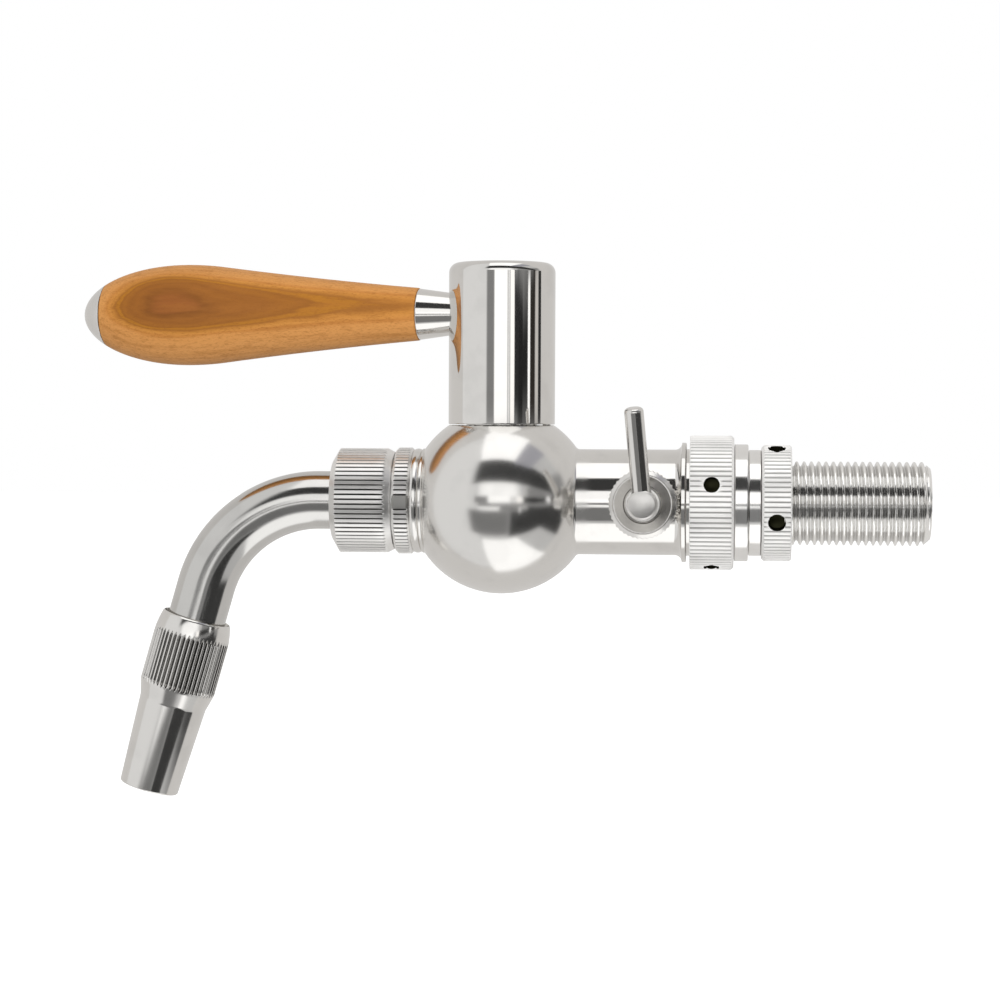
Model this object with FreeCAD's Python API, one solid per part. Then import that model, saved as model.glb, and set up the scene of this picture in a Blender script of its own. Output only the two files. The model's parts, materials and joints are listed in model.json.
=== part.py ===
import FreeCAD, Part
import math
import os

# A side-pull beer faucet with a globe body, a ball valve, a side lever for the flow and a threaded shank.
# Millimetres. X runs along the shank towards its free end, Z is up, and -Y is the side of the flow lever.
# The origin is on the shank axis, where the free thread leaves the lock nut.

V = FreeCAD.Vector
REAR = V(1, 0, 0)
FRONT = V(-1, 0, 0)
LEVER_SIDE = V(0, -1, 0)
UP = V(0, 0, 1)

# Gaps that every fit is worked out from, and how far a cutter reaches past a face
run_gap = 0.05
press_gap = 0.02
face_gap = 0.05
seal_gap = 0.03
overrun = 1.0

# Share of a quarter arc's radius by which its middle point lies inside the corner
quarter_inset = 1 - math.sqrt(0.5)

# Shank: a G 1/2 pipe thread, drawn at its major diameter
thread_r = 10.4775
thread_free_len = 34.3
thread_end_bevel = 1.8
thread_end_r = 8.9
thread_undercut_len = 1.2
thread_undercut_r = 9.9
shank_bore_r = 5.0
tail_seat_r = 6.8
tail_seat_len = 1.8
shank_neck_r = 10.2
shank_flange_r = 12.9
shank_flange_len = 2.2
shank_gasket_len = 1.5
shank_gasket_bore_r = 7.5

# Rings and nuts on the shank
lock_nut_r = 14.5
lock_nut_len = 7.4
lock_nut_teeth = 72
lock_nut_front_edge = 0.65
lock_nut_back_edge = 0.4
lock_nut_hole_r = 2.2
lock_nut_hole_depth = 2.4
lock_nut_hole_turn = 18.0
washer_r = 13.25
washer_len = 3.3
washer_slack = 0.12
collar_r = 14.65
collar_len = 3.5
coupling_nut_r = 16.8
coupling_nut_len = 11.0
coupling_nut_teeth = 80
coupling_nut_front_edge = 0.25
coupling_nut_back_edge = 0.65
coupling_nut_hole_r = 2.0
coupling_nut_hole_turn = -17.0
coupling_lip_len = 1.7
coupling_lip_slack = 0.4
rear_knurl_depth = 0.35
spanner_holes = 4
drill_tip_deg = 118.0

# Valve body
globe_r = 23.3
globe_blend_r = 1.2
rear_tube_r = 13.25
rear_flange_r = 15.0
rear_flange_len = 1.1
rear_flare_len = 1.8
rear_reach = 46.6
rear_nut_gap = 0.9
tail_thread_r = 13.4
front_collar_r = 13.2
front_reach = 22.1
cavity_slack = 0.4
rear_bore_r = 9.8
cone_seat_r = 6.0
cone_seat_lead = 6.0
cone_seat_to_flow = 3.3
hub_land_z = 19.2
stem_boss_r = 8.9
stem_boss_top = 25.0
stuffing_r = 7.0
stuffing_floor = 16.0

# Ball, seats and stem
ball_r = 11.2
ball_bore_r = 5.5
seat_inner_r = 5.8
seat_outer_r = 9.4
seat_near = 6.5
seat_far = 12.5
tang_w = 4.0
ball_slot_floor = 8.5
tang_foot = 8.7
journal_r = 4.95
journal_foot = 12.5
stem_r = 4.5
stem_flange_r = 6.6
thrust_washer_len = 1.0
stem_flange_len = 1.75
upper_washer_len = 0.95
gland_hex = 14.0
gland_hex_len = 3.5
oring_r = 0.46
stem_oring_z = 14.3
gland_oring_z = 22.5

# Stop pin in the body and its groove under the hub
stop_pin_r = 1.0
stop_circle_r = 11.35
stop_pin_sink = 2.7
stop_pin_rise = 2.6
stop_slack = 0.2
handle_travel_deg = 90.0

# Handle
handle_z = 47.2
handle_rest_turn = 6.0
hub_r = 13.4
hub_over_stud = 12.8
hub_edge_r = 2.5
hub_lift = 0.2
hub_room_r = 9.7
hub_room_top = 31.0
stem_over_stud = 6.3
stem_head_room = 0.5
stud_r = 3.0
stud_bite = 3.5
ferrule_seat_r = 5.25
ferrule_grip_r = 6.5
spot_face_slack = 0.2
grip_start = 21.3
grip_neck_r = 6.65
grip_crown = 82.4
grip_crown_r = 12.9
grip_blend = 4.35
grip_end_reach = 27.8
cap_seam = 104.2
cap_spigot_r = 4.5
cap_spigot_len = 9.4
stud_end_gap = 1.5

# Front insert, spout nut and spout
insert_rim_r = 13.45
insert_rim_len = 4.3
insert_rim_teeth = 68
insert_rim_edge = 0.6
insert_bore_r = 5.8
insert_boss_r = 11.0
insert_oring_from_face = 2.9
insert_oring_r = 0.6
front_knurl_depth = 0.35
front_knurl_land = 0.6
spout_nut_gap = 0.5
spout_nut_r = 13.2
spout_nut_len = 15.6
spout_nut_teeth = 67
spout_nut_lip_len = 3.5
spout_nut_back_edge = (1.9, 1.0)
spout_nut_front_edge = (1.8, 3.0)
spout_gasket_len = 1.2
spout_gasket_step = 0.6
spout_flange_r = 10.7
spout_flange_len = 2.15
spout_flange_play = 0.1
spout_r = 7.35
spout_wall = 1.35
spout_corner = 69.2
spout_bend_r = 30.5
spout_turn = 74.0
spout_lip_slack = 0.1

# Nozzle, measured along its own axis from its upper rim
nozzle_from_corner = 31.4
nozzle_len = 45.4
nozzle_rim_r = 8.8
nozzle_rim_edge = 0.3
nozzle_swell = 3.4
nozzle_waist_r = 9.65
nozzle_waist_start = 6.2
nozzle_waist_end = 15.8
nozzle_cone_start = 22.7
nozzle_cone_r = 8.55
nozzle_end_r = 7.55
nozzle_end_edge = 0.4
nozzle_bore_r = 6.2
nozzle_socket_len = 14.2
nozzle_throat_len = 10.0
nozzle_groove_count = 50
nozzle_groove_w = 0.75
nozzle_groove_depth = 0.5
nozzle_groove_start = 5.4
nozzle_groove_run = 2.4
tube_in_nozzle = 11.0
nozzle_oring_at = 6.0
nozzle_oring_r = 0.48
foam_disc_gap = 0.2
foam_disc_len = 0.8
foam_hole_r = 0.7
foam_hole_step = 2.6
foam_ring_w = 1.1

# Flow lever and cone
flow_to_flange = 10.4
flow_boss_r = 7.0
flow_boss_face = 15.6
bush_r = 4.5
bush_foot = 11.6
bush_flange_r = 5.9
bush_flange_len = 0.7
bush_nose_r = 4.7
bush_nose_len = 1.3
bush_oring_at = 13.4
spindle_r = 2.4
spindle_disc_foot = 8.6
spindle_tip_r = 1.8
spindle_tip_len = 4.2
spindle_oring_at = 10.65
crank_pin_r = 1.2
crank_throw = 2.2
crank_pin_len = 3.4
cap_nut_r = 8.55
cap_nut_back = 13.4
cap_nut_front = 18.2
cap_nut_rim_r = 7.3
cap_nut_rim_w = 0.35
cap_nut_edge = 1.0
cap_nut_lip_len = 0.85
cap_nut_teeth = 44
lever_head_r = 3.6
lever_head_foot = 17.9
lever_head_len = 6.4
lever_head_edge = 0.4
lever_head_dome = 0.35
lever_rod_r = 2.35
lever_rod_edge = 1.05
lever_rod_len = 24.2
lever_rod_foot = 1.95
lever_rod_seat = 3.2
lever_rod_tilt = 5.0
lever_rod_lean = 12.0
cone_gap = 1.25
cone_nose_lead = 0.5
cone_back_lead = 1.5
carrier_r = 5.0
carrier_past_flow = 5.7
fin_lead = 0.9
fin_w = 2.4
fin_slack = 0.08
yoke_lead = 2.6
yoke_past_flow = 2.7
yoke_half_w = 4.0
yoke_face = 8.3
yoke_floor = 4.8
yoke_slack = 0.15

# Stations along X that follow from the lengths above
lock_nut_front = -lock_nut_len
washer_front = lock_nut_front - washer_len
collar_front = washer_front - collar_len
coupling_nut_front = collar_front - coupling_nut_len
coupling_lip_front = collar_front - face_gap - coupling_lip_len
shank_flange_back = coupling_lip_front - face_gap
shank_flange_front = shank_flange_back - shank_flange_len
shank_gasket_front = shank_flange_front - shank_gasket_len
ball_x = coupling_nut_front - rear_nut_gap - rear_reach
flow_from_ball = rear_reach - flow_to_flange
flow_x = ball_x + flow_from_ball
body_tail = shank_gasket_front - ball_x
cavity_r = ball_r + cavity_slack
seat_sphere_r = ball_r + run_gap
cone_seat_start = seat_far + cone_seat_lead
cone_seat_end = flow_from_ball - cone_seat_to_flow
hub_top = handle_z + hub_over_stud
stem_top = handle_z + stem_over_stud

# Stations in front of the ball, measured from its centre
insert_rim_front = front_reach + insert_rim_len
spout_nut_back = insert_rim_front + spout_nut_gap
spout_nut_front = spout_nut_back + spout_nut_len
spout_lip_back = spout_nut_front - spout_nut_lip_len
spout_flange_front = spout_lip_back - spout_flange_play
spout_flange_back = spout_flange_front - spout_flange_len
spout_gasket_back = spout_flange_back - face_gap - spout_gasket_len

BALL = V(ball_x, 0, 0)
HANDLE = V(ball_x, 0, handle_z)
handle_way = V(-math.cos(math.radians(handle_rest_turn)), math.sin(math.radians(handle_rest_turn)), 0)
spout_way = V(-math.cos(math.radians(spout_turn)), 0, -math.sin(math.radians(spout_turn)))
SPOUT_CORNER = V(ball_x - spout_corner, 0, 0)
NOZZLE = SPOUT_CORNER + spout_way * nozzle_from_corner


def seat(shape, base, along, side=LEVER_SIDE):
    """Put a piece that was built up the Z axis on another axis, its X axis towards side."""
    placed = shape.copy()
    turn = FreeCAD.Rotation(side, along.cross(side), along, "ZXY")
    placed.Placement = FreeCAD.Placement(base, turn).multiply(placed.Placement)
    return placed


def line(a, b):
    """Edge between two (station, radius) points."""
    return Part.LineSegment(V(a[1], 0, a[0]), V(b[1], 0, b[0])).toShape()


def arc(a, middle, b):
    """Arc through three (station, radius) points."""
    return Part.Arc(V(a[1], 0, a[0]), V(middle[1], 0, middle[0]), V(b[1], 0, b[0])).toShape()


def bezier(*poles):
    """Bezier edge over (station, radius) poles."""
    curve = Part.BezierCurve()
    curve.setPoles([V(radius, 0, station) for station, radius in poles])
    return curve.toShape()


def lathe(edges):
    """Turn a closed outline of edges round the Z axis."""
    return Part.Face(Part.Wire(edges)).revolve(V(0, 0, 0), UP, 360)


def turned(points):
    """Turn a closed outline of (station, radius) points round the Z axis."""
    ends = points[1:] + points[:1]
    return lathe([line(a, b) for a, b in zip(points, ends)])


def ring(start, end, inner_r, outer_r):
    """Plain ring or tube from one station to another."""
    return turned([(start, inner_r), (start, outer_r), (end, outer_r), (end, inner_r)])


def rod(start, end, radius):
    """Plain round bar from one station to another."""
    return Part.makeCylinder(radius, end - start, V(0, 0, start), UP)


def o_ring(station, outer_r, section_r):
    """O-ring whose outside just clears outer_r."""
    return Part.makeTorus(outer_r - section_r, section_r, V(0, 0, station), UP)


def o_ring_groove(station, surface_r, section_r):
    """Cutter for the groove of an O-ring that just clears surface_r."""
    floor_r = surface_r - 2 * section_r - seal_gap
    half = section_r + seal_gap
    return ring(station - half, station + half, floor_r, surface_r + overrun)


def knurl_prism(start, end, tip_r, depth, teeth, land, plain_ridge=False):
    """Straight-knurled bar; land is the share of the pitch that stays at full radius."""
    pitch = 2 * math.pi / teeth
    points = []
    for tooth in range(teeth):
        middle = tooth * pitch
        before = middle - land * pitch / 2
        after = middle + land * pitch / 2
        tips = [middle] if land == 0 else [before, after]
        if plain_ridge and tooth in (0, 1, teeth - 1):
            tips = {0: [], 1: [after], teeth - 1: [before]}[tooth]
        points += [V(tip_r * math.cos(a), tip_r * math.sin(a), start) for a in tips]
        if plain_ridge and tooth in (0, teeth - 1):
            continue
        valley = middle + pitch / 2
        root_r = tip_r - depth
        points.append(V(root_r * math.cos(valley), root_r * math.sin(valley), start))
    outline = Part.makePolygon(points + points[:1])
    return Part.Face(outline).extrude(V(0, 0, end - start))


def radial_holes(station, surface_r, hole_r, depth, count, first_deg, pointed):
    """Cutters for holes drilled towards the axis from the outside."""
    tip_len = hole_r / math.tan(math.radians(drill_tip_deg / 2))
    hole = Part.makeCylinder(hole_r, depth + overrun, V(surface_r - depth, 0, station), V(1, 0, 0))
    if pointed:
        tip = Part.makeCone(hole_r, 0, tip_len, V(surface_r - depth, 0, station), V(-1, 0, 0))
        hole = hole.fuse(tip)
    holes = []
    for index in range(count):
        turn = first_deg + index * 360.0 / count
        copy = hole.copy()
        copy.rotate(V(0, 0, 0), UP, turn)
        holes.append(copy)
    return Part.makeCompound(holes)


def arc_middle(centre, a, b):
    """Point halfway along the arc from a to b round a centre, all as (station, radius)."""
    reach = math.hypot(a[0] - centre[0], a[1] - centre[1])
    lean = ((a[0] + b[0]) / 2 - centre[0], (a[1] + b[1]) / 2 - centre[1])
    pull = reach / math.hypot(lean[0], lean[1])
    return (centre[0] + lean[0] * pull, centre[1] + lean[1] * pull)


def globe_outline():
    """Outer outline of the body: front collar, globe, rear tube, flare, flange and tail thread."""
    blend_r = rear_tube_r + globe_blend_r
    blend_x = math.sqrt((globe_r + globe_blend_r) ** 2 - blend_r ** 2)
    share = globe_r / (globe_r + globe_blend_r)
    on_globe = (blend_x * share, blend_r * share)
    on_tube = (blend_x, rear_tube_r)
    on_collar = (-math.sqrt(globe_r ** 2 - front_collar_r ** 2), front_collar_r)
    flange_start = rear_reach - rear_flange_len
    flare_start = flange_start - rear_flare_len
    flare_rise = rear_flange_r - rear_tube_r
    flare_r = (rear_flare_len ** 2 + flare_rise ** 2) / (2 * flare_rise)
    flare_foot = (flare_start, rear_tube_r)
    flare_top = (flange_start, rear_flange_r)
    return [
        line((-front_reach, 0), (-front_reach, front_collar_r)),
        line((-front_reach, front_collar_r), on_collar),
        arc(on_collar, (0, globe_r), on_globe),
        arc(on_globe, arc_middle((blend_x, blend_r), on_globe, on_tube), on_tube),
        line(on_tube, flare_foot),
        arc(flare_foot, arc_middle((flare_start, rear_tube_r + flare_r), flare_foot, flare_top), flare_top),
        line(flare_top, (rear_reach, rear_flange_r)),
        line((rear_reach, rear_flange_r), (rear_reach, tail_thread_r)),
        line((rear_reach, tail_thread_r), (body_tail, tail_thread_r)),
        line((body_tail, tail_thread_r), (body_tail, 0)),
        line((body_tail, 0), (-front_reach, 0)),
    ]


def body_passage():
    """Everything that is bored out of the body along its main axis."""
    return turned([
        (-front_reach - overrun, 0), (-front_reach - overrun, cavity_r), (seat_near, cavity_r),
        (seat_near, seat_outer_r + run_gap), (seat_far, seat_outer_r + run_gap), (seat_far, cone_seat_r),
        (cone_seat_start, cone_seat_r), (cone_seat_end, rear_bore_r), (body_tail + overrun, rear_bore_r),
        (body_tail + overrun, 0),
    ])


def valve_body():
    body = seat(lathe(globe_outline()), BALL, REAR)
    above = Part.makeBox(4 * hub_r, 4 * hub_r, globe_r, BALL + V(-2 * hub_r, -2 * hub_r, hub_land_z))
    boss = rod(0, stem_boss_top, stem_boss_r)
    boss.translate(BALL)
    flow_boss = seat(rod(spindle_disc_foot, flow_boss_face, flow_boss_r), V(flow_x, 0, 0), LEVER_SIDE, UP)
    body = body.cut(above).fuse([boss, flow_boss]).removeSplitter()
    stem_bore = rod(0, stem_boss_top + overrun, journal_r + run_gap)
    stuffing_box = rod(stuffing_floor, stem_boss_top + overrun, stuffing_r)
    pin_hole = rod(hub_land_z - stop_pin_sink, hub_land_z + overrun, stop_pin_r + press_gap)
    pin_hole.translate(V(stop_circle_r, 0, 0))
    for cutter in (stem_bore, stuffing_box, pin_hole):
        cutter.translate(BALL)
    spindle_bore = seat(rod(0, flow_boss_face + overrun, bush_r + run_gap), V(flow_x, 0, 0), LEVER_SIDE, UP)
    passage = seat(body_passage(), BALL, REAR)
    return body.cut([passage, stem_bore, stuffing_box, pin_hole, spindle_bore])


def ball_seat(way):
    blank = ring(seat_near, seat_far, seat_inner_r, seat_outer_r)
    cup = Part.makeSphere(seat_sphere_r)
    return seat(blank.cut(cup), BALL, way)


def front_insert():
    rim_back = front_reach
    rim_front = insert_rim_front
    pocket_r = seat_outer_r + run_gap
    thread = cavity_r - run_gap
    blank = turned([
        (seat_near, pocket_r), (seat_near, thread), (rim_back, thread), (rim_back, insert_rim_r - insert_rim_edge),
        (rim_back + insert_rim_edge, insert_rim_r), (rim_front - insert_rim_edge, insert_rim_r),
        (rim_front, insert_rim_r - insert_rim_edge), (rim_front, insert_boss_r),
        (spout_gasket_back, insert_boss_r), (spout_gasket_back, insert_bore_r), (seat_far, insert_bore_r),
        (seat_far, pocket_r),
    ])
    knurl = knurl_prism(0, spout_gasket_back + overrun, insert_rim_r, front_knurl_depth, insert_rim_teeth,
                        front_knurl_land, plain_ridge=True)
    groove = o_ring_groove(front_reach - insert_oring_from_face, cavity_r - seal_gap, insert_oring_r)
    return seat(blank.common(knurl).cut(groove), BALL, FRONT)


def insert_o_ring():
    station = front_reach - insert_oring_from_face
    return seat(o_ring(station, cavity_r - seal_gap, insert_oring_r), BALL, FRONT)


def over_ball(shape, turn=0):
    """Put a piece that was built up the Z axis on the stem axis, turned by some degrees."""
    placed = shape.copy()
    placed.rotate(V(0, 0, 0), UP, turn)
    placed.translate(BALL)
    return placed


def with_handle(shape):
    """Put a piece that turns with the handle on the stem axis, at the handle's rest angle."""
    return over_ball(shape, -handle_rest_turn)


def ball():
    sphere = Part.makeSphere(ball_r)
    bore = Part.makeCylinder(ball_bore_r, 4 * ball_r, V(-2 * ball_r, 0, 0), V(1, 0, 0))
    slot_w = tang_w + 2 * run_gap
    slot = Part.makeBox(slot_w, 4 * ball_r, ball_r, V(-slot_w / 2, -2 * ball_r, ball_slot_floor))
    return with_handle(sphere.cut([bore, slot]))


def stem():
    washer_top = stuffing_floor + thrust_washer_len
    flange_foot = washer_top + face_gap
    flange_top = flange_foot + stem_flange_len
    shaft = turned([
        (tang_foot, 0), (tang_foot, journal_r), (flange_foot, journal_r), (flange_foot, stem_flange_r),
        (flange_top, stem_flange_r), (flange_top, stem_r), (stem_top, stem_r), (stem_top, 0),
    ])
    cheek = Part.makeBox(journal_r, 4 * journal_r, journal_foot - tang_foot, V(tang_w / 2, -2 * journal_r, tang_foot))
    other_cheek = cheek.mirror(V(0, 0, 0), V(1, 0, 0))
    low_groove = o_ring_groove(stem_oring_z, journal_r + run_gap - seal_gap, oring_r)
    high_groove = o_ring_groove(gland_oring_z, stem_r + run_gap - seal_gap, oring_r)
    stud_hole = Part.makeCylinder(stud_r + press_gap, stud_bite + stem_r + overrun, V(stud_bite, 0, handle_z), V(-1, 0, 0))
    return with_handle(shaft.cut([cheek, other_cheek, low_groove, high_groove, stud_hole]))


def stem_lower_o_ring():
    return with_handle(o_ring(stem_oring_z, journal_r + run_gap - seal_gap, oring_r))


def stem_upper_o_ring():
    return with_handle(o_ring(gland_oring_z, stem_r + run_gap - seal_gap, oring_r))


def stem_thrust_washer():
    washer = ring(stuffing_floor, stuffing_floor + thrust_washer_len, journal_r + 2 * run_gap, stuffing_r - run_gap)
    return over_ball(washer)


def upper_washer_foot():
    return stuffing_floor + thrust_washer_len + stem_flange_len + 2 * face_gap


def stem_upper_washer():
    foot = upper_washer_foot()
    return over_ball(ring(foot, foot + upper_washer_len, stem_r + 2 * run_gap, stuffing_r - run_gap))


def hexagon(across_flats, foot, top):
    corner_r = across_flats / math.sqrt(3)
    corners = []
    for index in range(7):
        angle = math.radians(60 * index)
        corners.append(V(corner_r * math.cos(angle), corner_r * math.sin(angle), foot))
    return Part.Face(Part.makePolygon(corners)).extrude(V(0, 0, top - foot))


def stem_gland_nut():
    foot = upper_washer_foot() + upper_washer_len
    head = hexagon(gland_hex, stem_boss_top, stem_boss_top + gland_hex_len)
    thread = rod(foot, stem_boss_top, stuffing_r - run_gap)
    bore = rod(foot - overrun, stem_boss_top + gland_hex_len + overrun, stem_r + run_gap)
    return over_ball(thread.fuse(head).cut(bore))


def stop_pin():
    pin = rod(hub_land_z - stop_pin_sink, hub_land_z + stop_pin_rise, stop_pin_r)
    pin.translate(V(stop_circle_r, 0, 0))
    return over_ball(pin)


def stop_groove():
    """Arc groove under the hub that the stop pin runs in, in the handle's own frame."""
    half_w = stop_pin_r + stop_slack
    foot = hub_land_z + hub_lift
    depth = stop_pin_rise - hub_lift + stop_slack
    end_room = math.degrees(stop_slack / stop_circle_r)
    corner = V(stop_circle_r - half_w, 0, foot)
    section = Part.makePlane(2 * half_w, depth, corner, V(0, -1, 0), V(1, 0, 0))
    channel = section.revolve(V(0, 0, 0), UP, handle_travel_deg + 2 * end_room)
    channel.rotate(V(0, 0, 0), UP, -end_room)
    ends = []
    for angle in (-end_room, handle_travel_deg + end_room):
        end = Part.makeCylinder(half_w, depth, V(stop_circle_r, 0, foot), UP)
        end.rotate(V(0, 0, 0), UP, angle)
        ends.append(end)
    return channel.fuse(ends)


def hub():
    foot = hub_land_z + hub_lift
    bore_r = stem_r + press_gap
    bore_top = stem_top + stem_head_room
    edge_mid = hub_edge_r * quarter_inset
    blank = lathe([
        line((foot, hub_room_r), (foot, hub_r)),
        line((foot, hub_r), (hub_top - hub_edge_r, hub_r)),
        arc((hub_top - hub_edge_r, hub_r), (hub_top - edge_mid, hub_r - edge_mid), (hub_top, hub_r - hub_edge_r)),
        line((hub_top, hub_r - hub_edge_r), (hub_top, 0)),
        line((hub_top, 0), (bore_top, 0)),
        line((bore_top, 0), (bore_top, bore_r)),
        line((bore_top, bore_r), (hub_room_top, bore_r)),
        line((hub_room_top, bore_r), (hub_room_top, hub_room_r)),
        line((hub_room_top, hub_room_r), (foot, hub_room_r)),
    ])
    seat_r = ferrule_seat_r + spot_face_slack
    spot_face = Part.makeCylinder(seat_r, hub_r, V(-ferrule_start(), 0, handle_z), V(-1, 0, 0))
    stud_hole = Part.makeCylinder(stud_r + press_gap, hub_r, V(0, 0, handle_z), V(-1, 0, 0))
    return with_handle(blank.cut([spot_face, stud_hole, stop_groove()]))


def ferrule_start():
    """Distance from the hub axis to the flat that the ferrule seats on."""
    seat_r = ferrule_seat_r + spot_face_slack
    return math.sqrt(hub_r ** 2 - seat_r ** 2)


def handle_stud():
    return seat(rod(-stud_bite, cap_seam - stud_end_gap, stud_r), HANDLE, handle_way, UP)


def ferrule():
    start = ferrule_start()
    bore_r = stud_r + press_gap
    cone = turned([(start, bore_r), (start, ferrule_seat_r), (grip_start, ferrule_grip_r), (grip_start, bore_r)])
    return seat(cone, HANDLE, handle_way, UP)


def grip_end_radius(station):
    """Radius of the elliptical end of the handle, rounded so that it is exactly zero at the tip."""
    return grip_crown_r * math.sqrt(round(1 - ((station - grip_crown) / grip_end_reach) ** 2, 9))


def grip_end_arc(start, end):
    """Stretch of the elliptical end of the handle, as an edge."""
    ellipse = Part.Ellipse(V(0, 0, grip_crown + grip_end_reach), V(grip_crown_r, 0, grip_crown), V(0, 0, grip_crown))
    start_angle = math.asin(grip_end_radius(start) / grip_crown_r)
    end_angle = math.asin(grip_end_radius(end) / grip_crown_r)
    return Part.ArcOfEllipse(ellipse, end_angle, start_angle).toShape()


def wood_grip():
    knee = grip_crown - grip_blend
    slope = (grip_crown_r - grip_neck_r) / (knee - grip_start)
    blend_run = grip_blend / math.hypot(1, slope)
    blend_start = (knee - blend_run, grip_crown_r - blend_run * slope)
    spigot_foot = cap_seam - cap_spigot_len
    bore_r = stud_r + press_gap
    socket_r = cap_spigot_r + press_gap
    seam_r = grip_end_radius(cap_seam)
    blank = lathe([
        line((grip_start, bore_r), (grip_start, grip_neck_r)),
        line((grip_start, grip_neck_r), blend_start),
        bezier(blend_start, (knee, grip_crown_r), (grip_crown, grip_crown_r)),
        grip_end_arc(grip_crown, cap_seam),
        line((cap_seam, seam_r), (cap_seam, socket_r)),
        line((cap_seam, socket_r), (spigot_foot, socket_r)),
        line((spigot_foot, socket_r), (spigot_foot, bore_r)),
        line((spigot_foot, bore_r), (grip_start, bore_r)),
    ])
    return seat(blank, HANDLE, handle_way, UP)


def end_cap():
    spigot_foot = cap_seam - cap_spigot_len
    tip = grip_crown + grip_end_reach
    bore_r = stud_r + press_gap
    bore_end = cap_seam - stud_end_gap / 2
    blank = lathe([
        line((spigot_foot, bore_r), (spigot_foot, cap_spigot_r)),
        line((spigot_foot, cap_spigot_r), (cap_seam, cap_spigot_r)),
        line((cap_seam, cap_spigot_r), (cap_seam, grip_end_radius(cap_seam))),
        grip_end_arc(cap_seam, tip),
        line((tip, 0), (bore_end, 0)),
        line((bore_end, 0), (bore_end, bore_r)),
        line((bore_end, bore_r), (spigot_foot, bore_r)),
    ])
    return seat(blank, HANDLE, handle_way, UP)


def spout_gasket():
    gasket = ring(spout_gasket_back, spout_gasket_back + spout_gasket_len, spout_r - spout_wall, insert_boss_r - spout_gasket_step)
    return seat(gasket, BALL, FRONT)


def spout_nut():
    back_len, back_drop = spout_nut_back_edge
    front_len, front_drop = spout_nut_front_edge
    room_r = insert_boss_r + run_gap
    lip_r = spout_r + spout_lip_slack
    blank = turned([
        (spout_nut_back, room_r), (spout_nut_back, spout_nut_r - back_drop),
        (spout_nut_back + back_len, spout_nut_r), (spout_nut_front - front_len, spout_nut_r),
        (spout_nut_front, spout_nut_r - front_drop), (spout_nut_front, lip_r), (spout_lip_back, lip_r),
        (spout_lip_back, room_r),
    ])
    knurl = knurl_prism(spout_nut_back - overrun, spout_nut_front + overrun, spout_nut_r, front_knurl_depth,
                        spout_nut_teeth, front_knurl_land)
    return seat(blank.common(knurl), BALL, FRONT)


def spout_path():
    """Centre line of the spout, from its flange to its end inside the nozzle."""
    tangent = spout_bend_r * math.tan(math.radians(spout_turn / 2))
    start = V(ball_x - spout_flange_back, 0, 0)
    bend_start = SPOUT_CORNER - FRONT * tangent
    bend_end = SPOUT_CORNER + spout_way * tangent
    centre = bend_start - UP * spout_bend_r
    half = math.radians(90 + spout_turn / 2)
    bend_mid = centre + V(math.cos(half), 0, math.sin(half)) * spout_bend_r
    end = NOZZLE + spout_way * tube_in_nozzle
    return Part.Wire([
        Part.LineSegment(start, bend_start).toShape(),
        Part.Arc(bend_start, bend_mid, bend_end).toShape(),
        Part.LineSegment(bend_end, end).toShape(),
    ])


def spout_tube():
    start = V(ball_x - spout_flange_back, 0, 0)
    outside = Part.Face(Part.Wire(Part.makeCircle(spout_r, start, FRONT)))
    inside = Part.Face(Part.Wire(Part.makeCircle(spout_r - spout_wall, start, FRONT)))
    path = spout_path()
    tube = path.makePipe(outside)
    hollow = path.makePipe(inside)
    flange = seat(rod(spout_flange_back, spout_flange_front, spout_flange_r), BALL, FRONT)
    groove = seat(o_ring_groove(nozzle_oring_at, spout_r + run_gap - seal_gap, nozzle_oring_r), NOZZLE, spout_way)
    return tube.fuse(flange).cut([hollow, groove])


def nozzle_o_ring():
    return seat(o_ring(nozzle_oring_at, spout_r + run_gap - seal_gap, nozzle_oring_r), NOZZLE, spout_way)


def nozzle_groove():
    """Boat-shaped cutter for one groove of the nozzle's waist, on the X side."""
    root_r = nozzle_waist_r - nozzle_groove_depth
    top_r = nozzle_waist_r + nozzle_groove_depth
    half_w = nozzle_groove_w * (top_r - root_r) / (2 * nozzle_groove_depth)
    full_depth = nozzle_groove_start + nozzle_groove_run
    lead = nozzle_groove_start - nozzle_groove_run
    finish = nozzle_cone_start
    tip = V(top_r, 0, lead)
    keel = [V(root_r, 0, full_depth), V(root_r, 0, finish)]
    left = [V(top_r, half_w, full_depth), V(top_r, half_w, finish)]
    right = [V(top_r, -half_w, full_depth), V(top_r, -half_w, finish)]
    outlines = [
        [tip, keel[0], left[0]],
        [tip, right[0], keel[0]],
        [keel[0], keel[1], left[1], left[0]],
        [keel[0], right[0], right[1], keel[1]],
        [keel[1], right[1], left[1]],
        [tip, left[0], left[1], right[1], right[0]],
    ]
    faces = [Part.Face(Part.makePolygon(outline + outline[:1])) for outline in outlines]
    return Part.Solid(Part.Shell(faces))


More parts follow.
